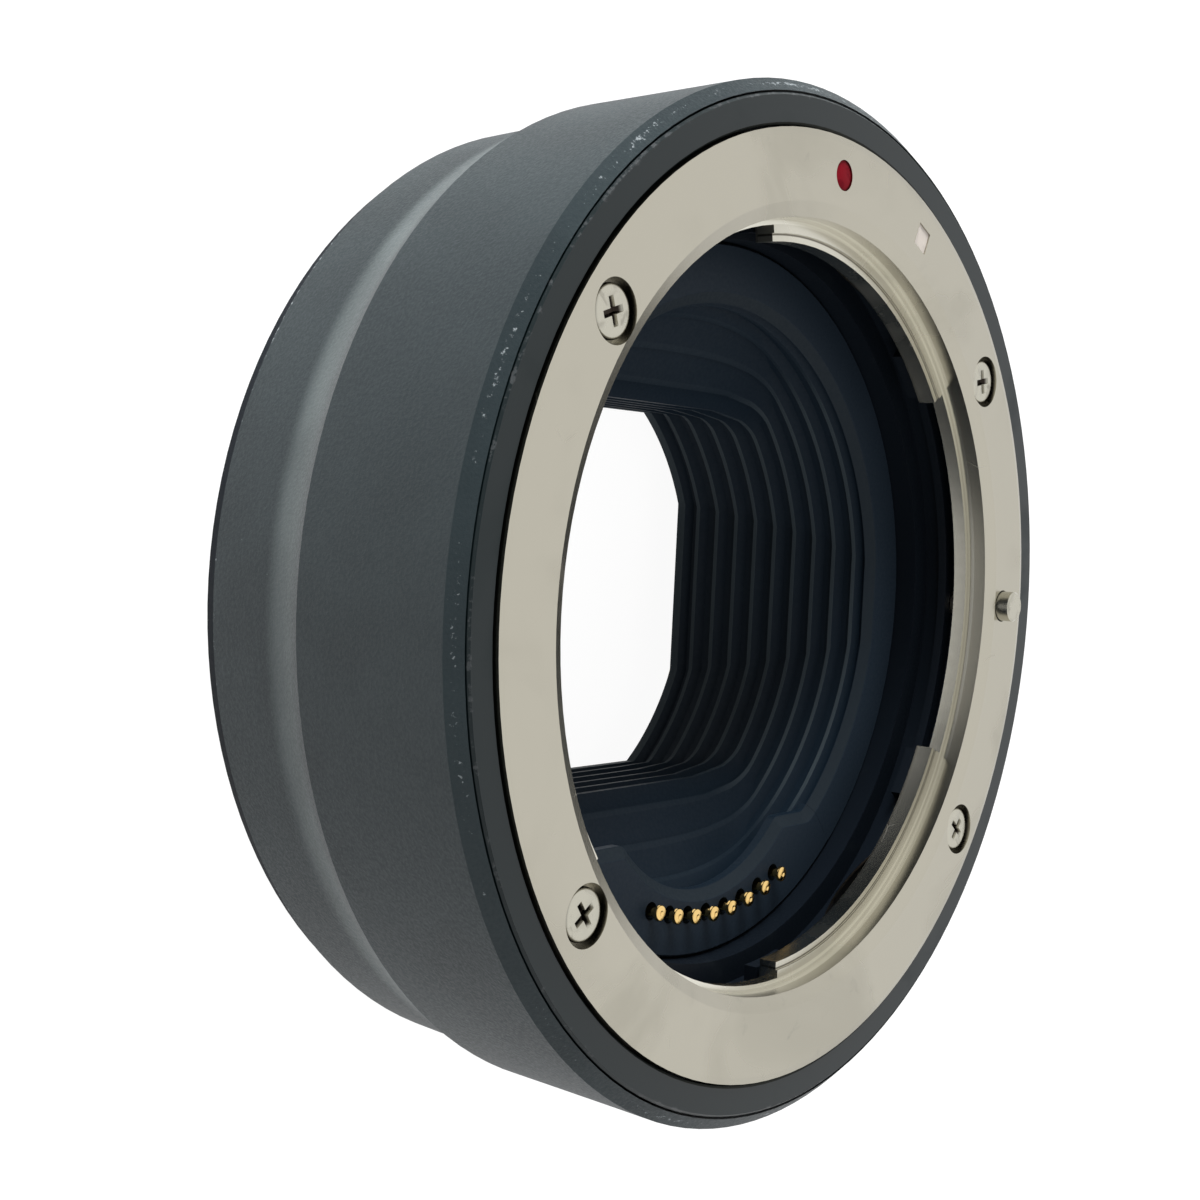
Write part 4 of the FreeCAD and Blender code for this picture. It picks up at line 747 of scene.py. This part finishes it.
def take_away(piece, *cutters):
    """Cuts the cutters out of the piece and deletes them."""
    for cutter in cutters:
        deselect_all()
        bpy.context.view_layer.objects.active = piece
        piece.select_set(True)
        hollow = piece.modifiers.new("recess", "BOOLEAN")
        hollow.operation = "DIFFERENCE"
        hollow.solver = "EXACT"
        hollow.object = cutter
        bpy.ops.object.modifier_apply(modifier=hollow.name)
        bpy.data.objects.remove(cutter)


# %% [markdown]
# ## Cross-head screws
#
# The four screws of the steel ring have low pan heads with a soft outer edge and a cross recess whose
# arms narrow towards the bottom. The head is turned; the cutter for the recess is two crossed wedges,
# each made from a cube whose lower face is scaled down, and a Boolean modifier takes them away. A small
# Bevel modifier then rounds every edge, which is what makes the cross read at this size.

# %% Screw model
CROSS_TAPER = 0.55  # size of an arm's bottom against its top
EDGE_SOFTNESS = 0.05


def wedge_cutter(name, span, width, depth, top, turned_by):
    """One arm of the cross recess, tapered towards its bottom."""
    deselect_all()
    bpy.ops.mesh.primitive_cube_add(size=1, location=(0, 0, 0))
    cutter = bpy.context.object
    cutter.name = name
    cutter.scale = (span * MM, width * MM, 2 * depth * MM)
    cutter.rotation_euler = (0, 0, turned_by)
    cutter.location = (0, 0, top * MM)
    bpy.ops.object.transform_apply(location=True, rotation=True, scale=True)
    bpy.ops.object.mode_set(mode="EDIT")
    mesh = bmesh.from_edit_mesh(cutter.data)
    for vertex in mesh.verts:
        vertex.select = vertex.co.z < top * MM
    mesh.select_flush(True)
    bmesh.update_edit_mesh(cutter.data)
    bpy.ops.transform.resize(value=(CROSS_TAPER, CROSS_TAPER, 1.0), center_override=(0, 0, 0))
    bpy.ops.object.mode_set(mode="OBJECT")
    return cutter


def cross_screw(name, head, height, crown, shank, length, span, width, depth, turned_by):
    """A screw on its own axis, head up, its head's underside at z = 0. Sizes in millimetres."""
    outline = [(0, -length), (shank, -length), (shank, 0), (head, 0)]
    outline += arc_points(head - crown, height - crown, crown, 0, 90, 4)
    outline += [(0, height)]
    piece = turn_piece(name, outline, 40)
    take_away(piece, *[wedge_cutter("%s_cutter_%d" % (name, i), span, width, depth, height, angle)
                       for i, angle in enumerate((turned_by, turned_by + math.pi / 2))])
    deselect_all()
    bpy.context.view_layer.objects.active = piece
    piece.select_set(True)
    soften = piece.modifiers.new("soften", "BEVEL")
    soften.width = EDGE_SOFTNESS * MM
    soften.segments = 2
    soften.limit_method = "ANGLE"
    soften.angle_limit = math.radians(40)
    bpy.ops.object.modifier_apply(modifier=soften.name)
    return piece


# %% Lens ring screws
SCREW_CIRCLE = 29.5  # radius
SCREW_SEAT = 23.0  # height of the counterbore's floor
screw_sizes = {"head": 1.68, "height": 0.8, "crown": 0.3, "shank": 0.84, "length": 4.2,
               "span": 2.4, "width": 0.58, "depth": 0.55}
screw_angles = [37.0, 143.0, 217.0, -37.0]  # in degrees from +X
cross_turns = [12.0, 20.0, 35.0, 52.0]  # each cross was left at its own angle when it was tightened

for i, (angle, cross) in enumerate(zip(screw_angles, cross_turns)):
    screw = cross_screw("lens_screw_%d" % (i + 1), turned_by=math.radians(cross), **screw_sizes)
    a = math.radians(angle)
    screw.location = (SCREW_CIRCLE * MM * math.cos(a), SCREW_CIRCLE * MM * math.sin(a), SCREW_SEAT * MM)
    settle(screw, "housing", "screw_steel", "lens_mount_screws")
print("lens ring screws at a radius of", SCREW_CIRCLE, "mm")

# %% [markdown]
# ## Light trap
#
# The black passage is a moulded light trap: a rectangle with clipped corners at the rear that opens to
# nearly a circle at the front in ten ribs. Each rib has a narrow land that catches light, and behind it
# a channel that swallows it. Extruding one profile would give a plain tube, but the outline changes all
# the way. So an edge loop with the passage's outline is extruded from height to height, up the outside,
# over the flange and back down the ribs, and its two ends are bridged into one closed wall.

# %% Wall from rings
def ring_wall(name, rings, closed=True):
    """An edge loop extruded from ring to ring, in millimetres. Its ends are bridged, or filled."""
    deselect_all()
    bpy.ops.mesh.primitive_circle_add(vertices=len(rings[0]), radius=MM)
    piece = bpy.context.object
    piece.name = piece.data.name = name
    bpy.ops.object.mode_set(mode="EDIT")
    mesh = bmesh.from_edit_mesh(piece.data)
    number = mesh.verts.layers.int.new("number")  # an extruded vertex keeps the number of its source
    for i, vertex in enumerate(mesh.verts):
        vertex[number] = i
    for i, ring in enumerate(rings):
        if i:
            bpy.ops.mesh.extrude_region_move()
        mesh = bmesh.from_edit_mesh(piece.data)
        number = mesh.verts.layers.int["number"]
        for vertex in mesh.verts:
            if vertex.select:
                vertex.co = Vector(ring[vertex[number]]) * MM
        bmesh.update_edit_mesh(piece.data)
    bpy.ops.mesh.select_all(action="DESELECT")
    bpy.ops.mesh.select_non_manifold()
    if closed:
        bpy.ops.mesh.bridge_edge_loops()
    else:
        bpy.ops.mesh.fill_holes(sides=0)
    bpy.ops.mesh.select_all(action="SELECT")
    bpy.ops.mesh.normals_make_consistent(inside=False)
    bpy.ops.object.mode_set(mode="OBJECT")
    piece.data.attributes.remove(piece.data.attributes["number"])
    return piece


# %% [markdown]
# ### Sectors of a ring
#
# Ledges and pockets inside the tube follow its circle for a part of a turn. A whole ring could be spun
# and cut at both ends, but the wall above already does it: the outline is its ring, and the steps of
# the turn are the heights that it is extruded through.

# %% Sectors
def sector(name, outline, sweep, middle, steps=28):
    """Part of a ring: an outline of (radius, height) points, carried round by a sweep in degrees."""
    angles = [math.radians(middle - sweep / 2 + sweep * i / steps) for i in range(steps + 1)]
    return ring_wall(name, [[(r * math.cos(a), r * math.sin(a), z) for r, z in outline] for a in angles],
                     closed=False)


def band(inner, outer, low, high):
    """The outline of a plain ring."""
    return [(inner, low), (outer, low), (outer, high), (inner, high)]


# %% [markdown]
# ### Outline of the passage
#
# At each height the outline is a flat floor and ceiling and two flat sides, clipped by a circle. The
# points could be joined from lines and arcs, but a formula by angle is shorter and always gives the
# same number of points: the distance to the nearest of the three. Further forward, floor and ceiling
# run into the circle softly.

# %% Outline of the passage
FLAT_STEPS = 8
ARC_STEPS = 20
WIDE, WIDENS = 17.2, 3.9  # half width at the rear, and what it gains up to the front
TALL, RISES, RISES_LATE = 14.4, 5.9, 4.2  # half height, with two gains
CLIP, CLIP_GROWS = 18.6, 2.7  # radius of the circle that clips the corners
SHARP, SOFTENS = 0.01, 3.2
FLATTEST = 0.98  # floor and ceiling keep some width even where the circle is no taller than they are
TINY = 1e-6


def smooth_ramp(value, start, end):
    """From 0 to 1 between two values, slow at both ends."""
    ramp = min(max((value - start) / (end - start), 0), 1)
    return ramp * ramp * (3 - 2 * ramp)


def passage_size(height):
    """Half width, half height, clipping circle and softness of the upper corners at a height."""
    share = min(max((height - TRAP_REAR) / (TRAP_FRONT - TRAP_REAR), 0), 1)
    tall = TALL + RISES * smooth_ramp(share, 0.5, 0.85) + RISES_LATE * smooth_ramp(share, 0.7, 0.95)
    softness = SHARP + SOFTENS * smooth_ramp(share, 0.0, 0.5)
    return WIDE + WIDENS * share, tall, CLIP + CLIP_GROWS * share, softness


def soft_least(first, second, softness):
    """The smaller of two lengths, with a rounded change from one to the other."""
    near = max(softness - abs(first - second), 0) / softness
    return min(first, second) - near * near * softness / 4


def passage_outline(height, out=0.0, at=None, circle=None):
    """The outline at a height, grown outwards, or the circle that its points lie on."""
    wide, tall, corner, softness = passage_size(height)
    wide, tall, corner = wide + out, tall + out, corner + out
    side, top = math.acos(wide / corner), math.asin(min(tall / corner, FLATTEST))
    points = []
    for start, end, count in (
            (-side, side, FLAT_STEPS), (side, top, ARC_STEPS), (top, math.pi - top, FLAT_STEPS),
            (math.pi - top, math.pi - side, ARC_STEPS), (math.pi - side, math.pi + side, FLAT_STEPS),
            (math.pi + side, math.pi + top, ARC_STEPS), (math.pi + top, 2 * math.pi - top, FLAT_STEPS),
            (2 * math.pi - top, 2 * math.pi - side, ARC_STEPS)):
        for i in range(count):
            angle = start + (end - start) * i / count
            across, up = math.cos(angle), math.sin(angle)
            reach = circle or min(wide / max(abs(across), TINY),
                                  soft_least(tall / max(abs(up), TINY), corner, softness))
            points.append((reach * across, reach * up, height if at is None else at))
    return points


print("passage, half width and height:", [round(v, 1) for v in passage_size(TRAP_REAR)[:2]], "at the rear,",
      [round(v, 1) for v in passage_size(TRAP_FRONT)[:2]], "at the front")

# %% Wall of the light trap
RIB_DEPTH = 0.55
LAND_RISE, LAND_FALL = 0.2, 0.5  # heights over which the channel meets a land below and above it
TRAP_SKIN = 1.2  # from a rib's edge to the outside
FLANGE_RADIUS = 25.35
FLANGE_UNDER = 15.0
LIP_WIDTH = 0.8
SOFT_EDGE = 0.12
outside_heights = (TRAP_REAR, 3.6, 7.8, 9.5, 11.2, 12.9, 14.2)
flange_points = ((FLANGE_RADIUS, FLANGE_UNDER), (FLANGE_RADIUS, TRAP_FRONT - SOFT_EDGE),
                 (FLANGE_RADIUS - SOFT_EDGE, TRAP_FRONT))

rings = [passage_outline(height, TRAP_SKIN) for height in outside_heights]
rings += [passage_outline(TRAP_FRONT, TRAP_SKIN, FLANGE_UNDER)]
rings += [passage_outline(TRAP_FRONT, 0, at, radius) for radius, at in flange_points]
rings += [passage_outline(LIP_HEIGHT, LIP_WIDTH, TRAP_FRONT), passage_outline(LIP_HEIGHT),
          passage_outline(LIP_HEIGHT - LAND_RISE, RIB_DEPTH)]
for i in range(RIB_COUNT - 1, 0, -1):
    edge = TRAP_REAR + rib_pitch * i
    rings += [passage_outline(edge + RIB_LAND + LAND_FALL, RIB_DEPTH), passage_outline(edge + RIB_LAND),
              passage_outline(edge), passage_outline(edge - LAND_RISE, RIB_DEPTH)]
rings += [passage_outline(LAND_FALL, RIB_DEPTH), passage_outline(0.0), passage_outline(TRAP_REAR)]
trap = ring_wall("light_trap", rings)
print("light trap:", len(rings), "rings of", len(rings[0]), "points")

# %% [markdown]
# ### Room in the light trap
#
# The contact block and its eight contacts pass through the wall of the trap. Their room could be left
# out while the wall is drawn, but a mould has it as inserts, and cutters do the same here. The holes
# are cut first, while the wall under them is still whole, which the exact solver handles best.

# %% Holes for the contacts
CONTACT_COUNT = 8
PIN_HOLE = 0.65  # radius
HOLE_MIDDLE, HOLE_LENGTH = 15, 8  # height of the middle, and length


def pin_holes(name):
    """Eight cylinders for the holes that the contacts slide in."""
    deselect_all()
    for i in range(CONTACT_COUNT):
        low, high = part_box("contact_pin_%d" % (i + 1))
        at = ((low.x + high.x) / 2, (low.y + high.y) / 2, HOLE_MIDDLE * MM)
        bpy.ops.mesh.primitive_cylinder_add(vertices=32, radius=PIN_HOLE * MM, depth=HOLE_LENGTH * MM,
                                            location=at)
        bpy.context.object.name = "%s_%d" % (name, i)
    for i in range(CONTACT_COUNT):
        bpy.data.objects["%s_%d" % (name, i)].select_set(True)
    bpy.ops.object.join()
    return bpy.context.object


# %% Room for the contact block
SHELF_MIDDLE = -90.0  # middle angle of the shelf in degrees
SHELF_SWEEP = 82.0
SHELF_UNDER = 14.95
BLOCK_MIDDLE = -87.2  # middle angle of the contact block's hidden part
BLOCK_SWEEP = 72.0
shelf_room = band(15.0, 27.0, SHELF_UNDER - 0.02, 17.0)
backing_room = band(21.2, 27.0, 10.6, 11.82)

take_away(trap, pin_holes("trap_hole"), sector("shelf_room", shelf_room, SHELF_SWEEP + 0.1, SHELF_MIDDLE),
          sector("backing_room", backing_room, BLOCK_SWEEP + 1.0, BLOCK_MIDDLE))
settle(trap, "housing", "baffle_black", "light_baffle")
print("light trap:", len(trap.data.polygons), "faces")

# %% [markdown]
# ## Contact shelf
#
# The front lip of the contact block closes the lower part of the mouth: it has a wide arch for the
# lens's rear group between two straight shoulders, all corners are rounded, and the mouth's chamfer
# runs on along its edge. The arch could be cut with a plain cylinder, but the rounded corners would be
# lost. The opening's outline is therefore drawn from arcs about fixed centres: growing every radius by
# the same amount gives the wider outline at the top of the chamfer.

# %% Opening of the shelf
MOUTH = 21.2  # radius
ARCH = 12.8  # radius
ARCH_DROP = 7.9  # from the optical axis down to the arch's centre
SHOULDER = 16.5  # from the optical axis down to the shoulders
ROUNDING = 1.0


def shelf_opening(out, height):
    """Points round the opening, from the top clockwise."""
    right = math.sqrt((MOUTH - ROUNDING) ** 2 - (SHOULDER - ROUNDING) ** 2)
    left = math.sqrt((ARCH + ROUNDING) ** 2 - (SHOULDER + ROUNDING - ARCH_DROP) ** 2)
    meets = math.degrees(math.atan2(ROUNDING - SHOULDER, right))
    leaves = math.degrees(math.atan2(SHOULDER + ROUNDING - ARCH_DROP, -left))
    half = arc_points(0, 0, MOUTH + out, 90, meets, 36)[:-1]
    half += arc_points(right, ROUNDING - SHOULDER, ROUNDING + out, meets, -90, 6)
    half += arc_points(left, -SHOULDER - ROUNDING, ROUNDING - out, 90, leaves, 5)[:-1]
    half += arc_points(0, -ARCH_DROP, ARCH + out, leaves - 180, -90, 16)
    whole = half + [(-x, y) for x, y in reversed(half[1:-1])]
    return [(x, y, height) for x, y in whole]


print("opening:", len(shelf_opening(0, 0)), "points")

# %% Contact shelf and the block under it
SHELF_INNER, SHELF_OUTER = 16.0, 25.3
BLOCK_INNER, BLOCK_OUTER = 22.55, 27.6
BLOCK_UNDER, BLOCK_STEP = 11.8, 13.0

opening = ring_wall("opening", [shelf_opening(0, 14.0), shelf_opening(0, LIP_HEIGHT),
                                shelf_opening(LIP_WIDTH, TRAP_FRONT), shelf_opening(LIP_WIDTH, 17.2)],
                    closed=False)
shelf = sector("contact_shelf", [(SHELF_INNER, SHELF_UNDER), (SHELF_OUTER, SHELF_UNDER),
                                 (SHELF_OUTER, TRAP_FRONT - SOFT_EDGE), (SHELF_OUTER - SOFT_EDGE, TRAP_FRONT),
                                 (SHELF_INNER, TRAP_FRONT)], SHELF_SWEEP, SHELF_MIDDLE, 40)
take_away(shelf, opening, pin_holes("shelf_hole"))
settle(shelf, "housing", "baffle_black", "front_contact_block")

base = sector("contact_base", [(BLOCK_INNER, BLOCK_UNDER), (BLOCK_OUTER, BLOCK_UNDER),
                               (BLOCK_OUTER, BLOCK_STEP), (SHELF_OUTER, BLOCK_STEP),
                               (SHELF_OUTER, SHELF_UNDER), (BLOCK_INNER, SHELF_UNDER)],
              BLOCK_SWEEP, BLOCK_MIDDLE)
take_away(base, pin_holes("base_hole"))
settle(base, "housing", "frame_black", "front_contact_block")
print("contact shelf:", len(shelf.data.polygons), "faces, block:", len(base.data.polygons))

# %% [markdown]
# ## Gold contacts
#
# Each contact is a plunger with a flat round head on a thin neck, and its head has a small dimple. A
# sphere would be quicker, but the flat head is what shines in the picture. Each plunger is turned in
# one go and rides on its own moving body.

# %% Contacts
HEAD = 0.57  # radius
NECK = 0.33  # radius
TIP = 17.15  # height
STEM_TOP, NECK_FOOT = 15.0, 15.3  # heights
UNDER_ROUNDING, TOP_ROUNDING = 0.08, 0.12
DIMPLE_DEPTH = 0.06

for i in range(CONTACT_COUNT):
    low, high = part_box("contact_pin_%d" % (i + 1))
    middle = (low + high) / 2
    outline = [(0, low.z / MM), (HEAD, low.z / MM), (HEAD, STEM_TOP), (NECK, NECK_FOOT), (NECK, TIP - 0.38),
               (NECK + 0.04, TIP - 0.36)]
    outline += arc_points(HEAD - UNDER_ROUNDING, TIP - 0.28, UNDER_ROUNDING, -90, 0, 4)
    outline += arc_points(HEAD - TOP_ROUNDING, TIP - 0.14, TOP_ROUNDING, 0, 80, 5)
    outline += [(0.2, TIP), (0.13, TIP - 0.05), (0, TIP - DIMPLE_DEPTH)]
    plunger = turn_piece("contact_plunger_%d" % (i + 1), outline, 32)
    plunger.location = (middle.x, middle.y, 0)
    settle(plunger, "contact_%d" % (i + 1), "contact_gold", "contact_pin_%d" % (i + 1))
print("contacts: 8 plungers, head radius", HEAD, "mm")

# %% [markdown]
# ## Leaf springs
#
# Under each steel tab lies a narrow bronze leaf that presses a lens's lug forwards. Its two ends touch
# the tab from behind and its middle is bowed to the rear. A curve with a flat bevel could draw it, but
# its edges must follow the ring, so a small rectangle is extruded along the arc instead.

# %% Leaf springs
LEAF_INNER, LEAF_OUTER = 26.2, 26.85
LEAF_HALF = 5.1  # half the length of the bow
LEAF_FOOT = 1.0
LEAF_BOW = 1.3
LEAF_THICK = 0.2
LEAF_GAP = 0.08  # between a foot and the tab
LEAF_STEPS = 30  # on each side of the middle
tab_middles = [69.5, -57.5, 186.5]  # middle angle of each tab in degrees

for i, middle in enumerate(tab_middles):
    rings = []
    for step in range(-LEAF_STEPS, LEAF_STEPS + 1):
        along = (LEAF_HALF + LEAF_FOOT) * step / LEAF_STEPS
        drop = LEAF_BOW * max(1 - (along / LEAF_HALF) ** 2, 0)
        low = TAB_UNDER - LEAF_GAP - LEAF_THICK - drop
        a = math.radians(middle) + along / LEAF_INNER
        rings.append([(r * math.cos(a), r * math.sin(a), z)
                      for r, z in band(LEAF_INNER, LEAF_OUTER, low, low + LEAF_THICK)])
    leaf = ring_wall("leaf_strip_%d" % (i + 1), rings, closed=False)
    settle(leaf, "housing", "spring_bronze", "leaf_spring_%d" % (i + 1))
print("leaf springs:", len(tab_middles))

# %% [markdown]
# ## Red index
#
# The red mark is a drop of enamel in a shallow recess. Surface tension crowns it a little, and a turned
# dome with a soft edge shows that better than a flat disc.

# %% Red enamel
EDGE_DROP = 0.05  # the drop's edge lies this far under the solid's face
CROWN = 0.12
CROWN_TOP = 0.07  # above the solid's face

low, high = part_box("red_index_dot")
middle = (low + high) / 2
radius = (high.x - low.x) / MM / 2
outline = [(0, low.z / MM), (radius, low.z / MM)]
outline += [(radius * math.cos(a), high.z / MM - EDGE_DROP + CROWN * math.sin(a))
            for a in [math.radians(v) for v in (0, 12, 24, 38, 52, 66, 80)]]
outline += [(0, high.z / MM + CROWN_TOP)]
enamel = turn_piece("red_enamel", outline, 40)
enamel.location = (middle.x, middle.y, 0)
settle(enamel, "housing", "red_paint", "red_index_dot")
print("red index: radius", round(radius, 2), "mm")

# %% [markdown]
# ## Floor, sky and lamps
#
# The adapter rests on its rear mount on a pale floor. In the picture the background is plain white, and
# only a breath of shadow is left on it. The floor's material therefore mixes a steady white glow, which
# only the camera and reflections see, with a diffuse part that keeps the shadow. The sky is white for
# the camera, and dimmer as a light, so that the lamps can still model the form.

# %% Floor
FLOOR_SIZE = 6.0  # metres
FLOOR_GAP = 0.02  # under the adapter, in mm
FLOOR_GLOW = 0.94
FLOOR_PAPER = colour(0.8, 0.8, 0.8)
FLOOR_SHADED = colour(0.16, 0.16, 0.16)  # the part that the shadow darkens
WHITE = colour(1, 1, 1)

deselect_all()
bpy.ops.mesh.primitive_plane_add(size=FLOOR_SIZE, location=(0, 0, cad_low.z - FLOOR_GAP * MM))
floor = bpy.context.object
floor.name = "floor"

floor_paper = bpy.data.materials.new("floor_paper")
floor_paper.use_nodes = True
tree = floor_paper.node_tree
tree.nodes.clear()
seen = add_node(tree, "LightPath").outputs
direct = maths(tree, "MAXIMUM", seen["Is Camera Ray"], seen["Is Glossy Ray"])
direct = maths(tree, "MAXIMUM", direct, seen["Is Transmission Ray"])
paper = add_node(tree, "BsdfDiffuse", {"Color": FLOOR_PAPER}).outputs[0]
shaded = add_node(tree, "BsdfDiffuse", {"Color": FLOOR_SHADED}).outputs[0]
glow = add_node(tree, "Emission", {"Color": WHITE, "Strength": FLOOR_GLOW}).outputs[0]
bright = add_node(tree, "AddShader", {0: shaded, 1: glow}).outputs[0]
both = add_node(tree, "MixShader", {0: direct, 1: paper, 2: bright}).outputs[0]
add_node(tree, "OutputMaterial", {"Surface": both})
floor.data.materials.append(floor_paper)
print("floor at", round(floor.location.z / MM, 2), "mm")

# %% [markdown]
# ### Sky
#
# A photographer's table is lit from all round, but not evenly: in the steel's reflections the room is
# dimmer near the table and on one side. A picture of a room could be wrapped round the scene, but two
# soft gradients are enough, one by height and one along X, and only mirrored rays see them. A flat white
# world would make the metal look like paper.

# %% Sky
SKY_LIGHT = 0.42
LOW_SKY = 0.86  # brightness of the mirrored sky near the table
SIDE_SKY = 0.62  # and on the -X side

world = bpy.data.worlds.new("white sky")
bpy.context.scene.world = world
world.use_nodes = True
tree = world.node_tree
tree.nodes.clear()
seen = add_node(tree, "LightPath").outputs
towards = add_node(tree, "SeparateXYZ", {0: add_node(tree, "TexCoord").outputs["Generated"]}).outputs
mirrored = all_of(tree, remap(tree, towards[2], 0.25, 0.55, LOW_SKY, 1.0),
                  remap(tree, towards[0], -0.75, 0.1, SIDE_SKY, 1.0))
others = maths(tree, "SUBTRACT", 1.0, maths(tree, "MAXIMUM", seen["Is Camera Ray"], seen["Is Glossy Ray"]))
strength = maths(tree, "ADD", seen["Is Camera Ray"], maths(tree, "MULTIPLY", seen["Is Glossy Ray"], mirrored))
strength = maths(tree, "ADD", strength, maths(tree, "MULTIPLY", others, SKY_LIGHT))
sky = add_node(tree, "Background", {"Color": WHITE, "Strength": strength}).outputs[0]
add_node(tree, "OutputWorld", {"Surface": sky})
print("sky gives", SKY_LIGHT, "as a light")

# %% [markdown]
# ### Lamps
#
# Three soft boxes shape the adapter: a strong one above the red index, which lights the upper side of
# the cover, a weak one from the right for the front, and a low one that reaches the ceiling of the
# light trap. Small lamps would draw hard shadows, so each is more than half as wide as it is far.
# Mirrored in the steel they would be bright squares, so glossy rays don't see them.

# %% Lamps
def soft_lamp(name, at, power, size):
    """A square soft box that looks at the adapter."""
    data = bpy.data.lights.new(name, "AREA")
    data.shape = "SQUARE"
    data.size = size
    data.energy = power
    lamp = bpy.data.objects.new(name, data)
    lamp.location = at
    lamp.rotation_euler = (-Vector(at)).to_track_quat("-Z", "Y").to_euler()
    lamp.visible_glossy = False
    bpy.context.scene.collection.objects.link(lamp)
    print("lamp:", name, power, "W")


soft_lamp("key", at=(-0.12, 0.62, 0.08), power=17.0, size=0.4)
soft_lamp("fill", at=(0.35, 0.10, 0.55), power=0.8, size=0.5)
soft_lamp("low", at=(-0.20, -0.55, 0.36), power=1.9, size=0.4)

# %% [markdown]
# ## Last update
#
# The dressed adapter must stay inside the box of its solids.

# %% Update the view layer
bpy.context.view_layer.update()
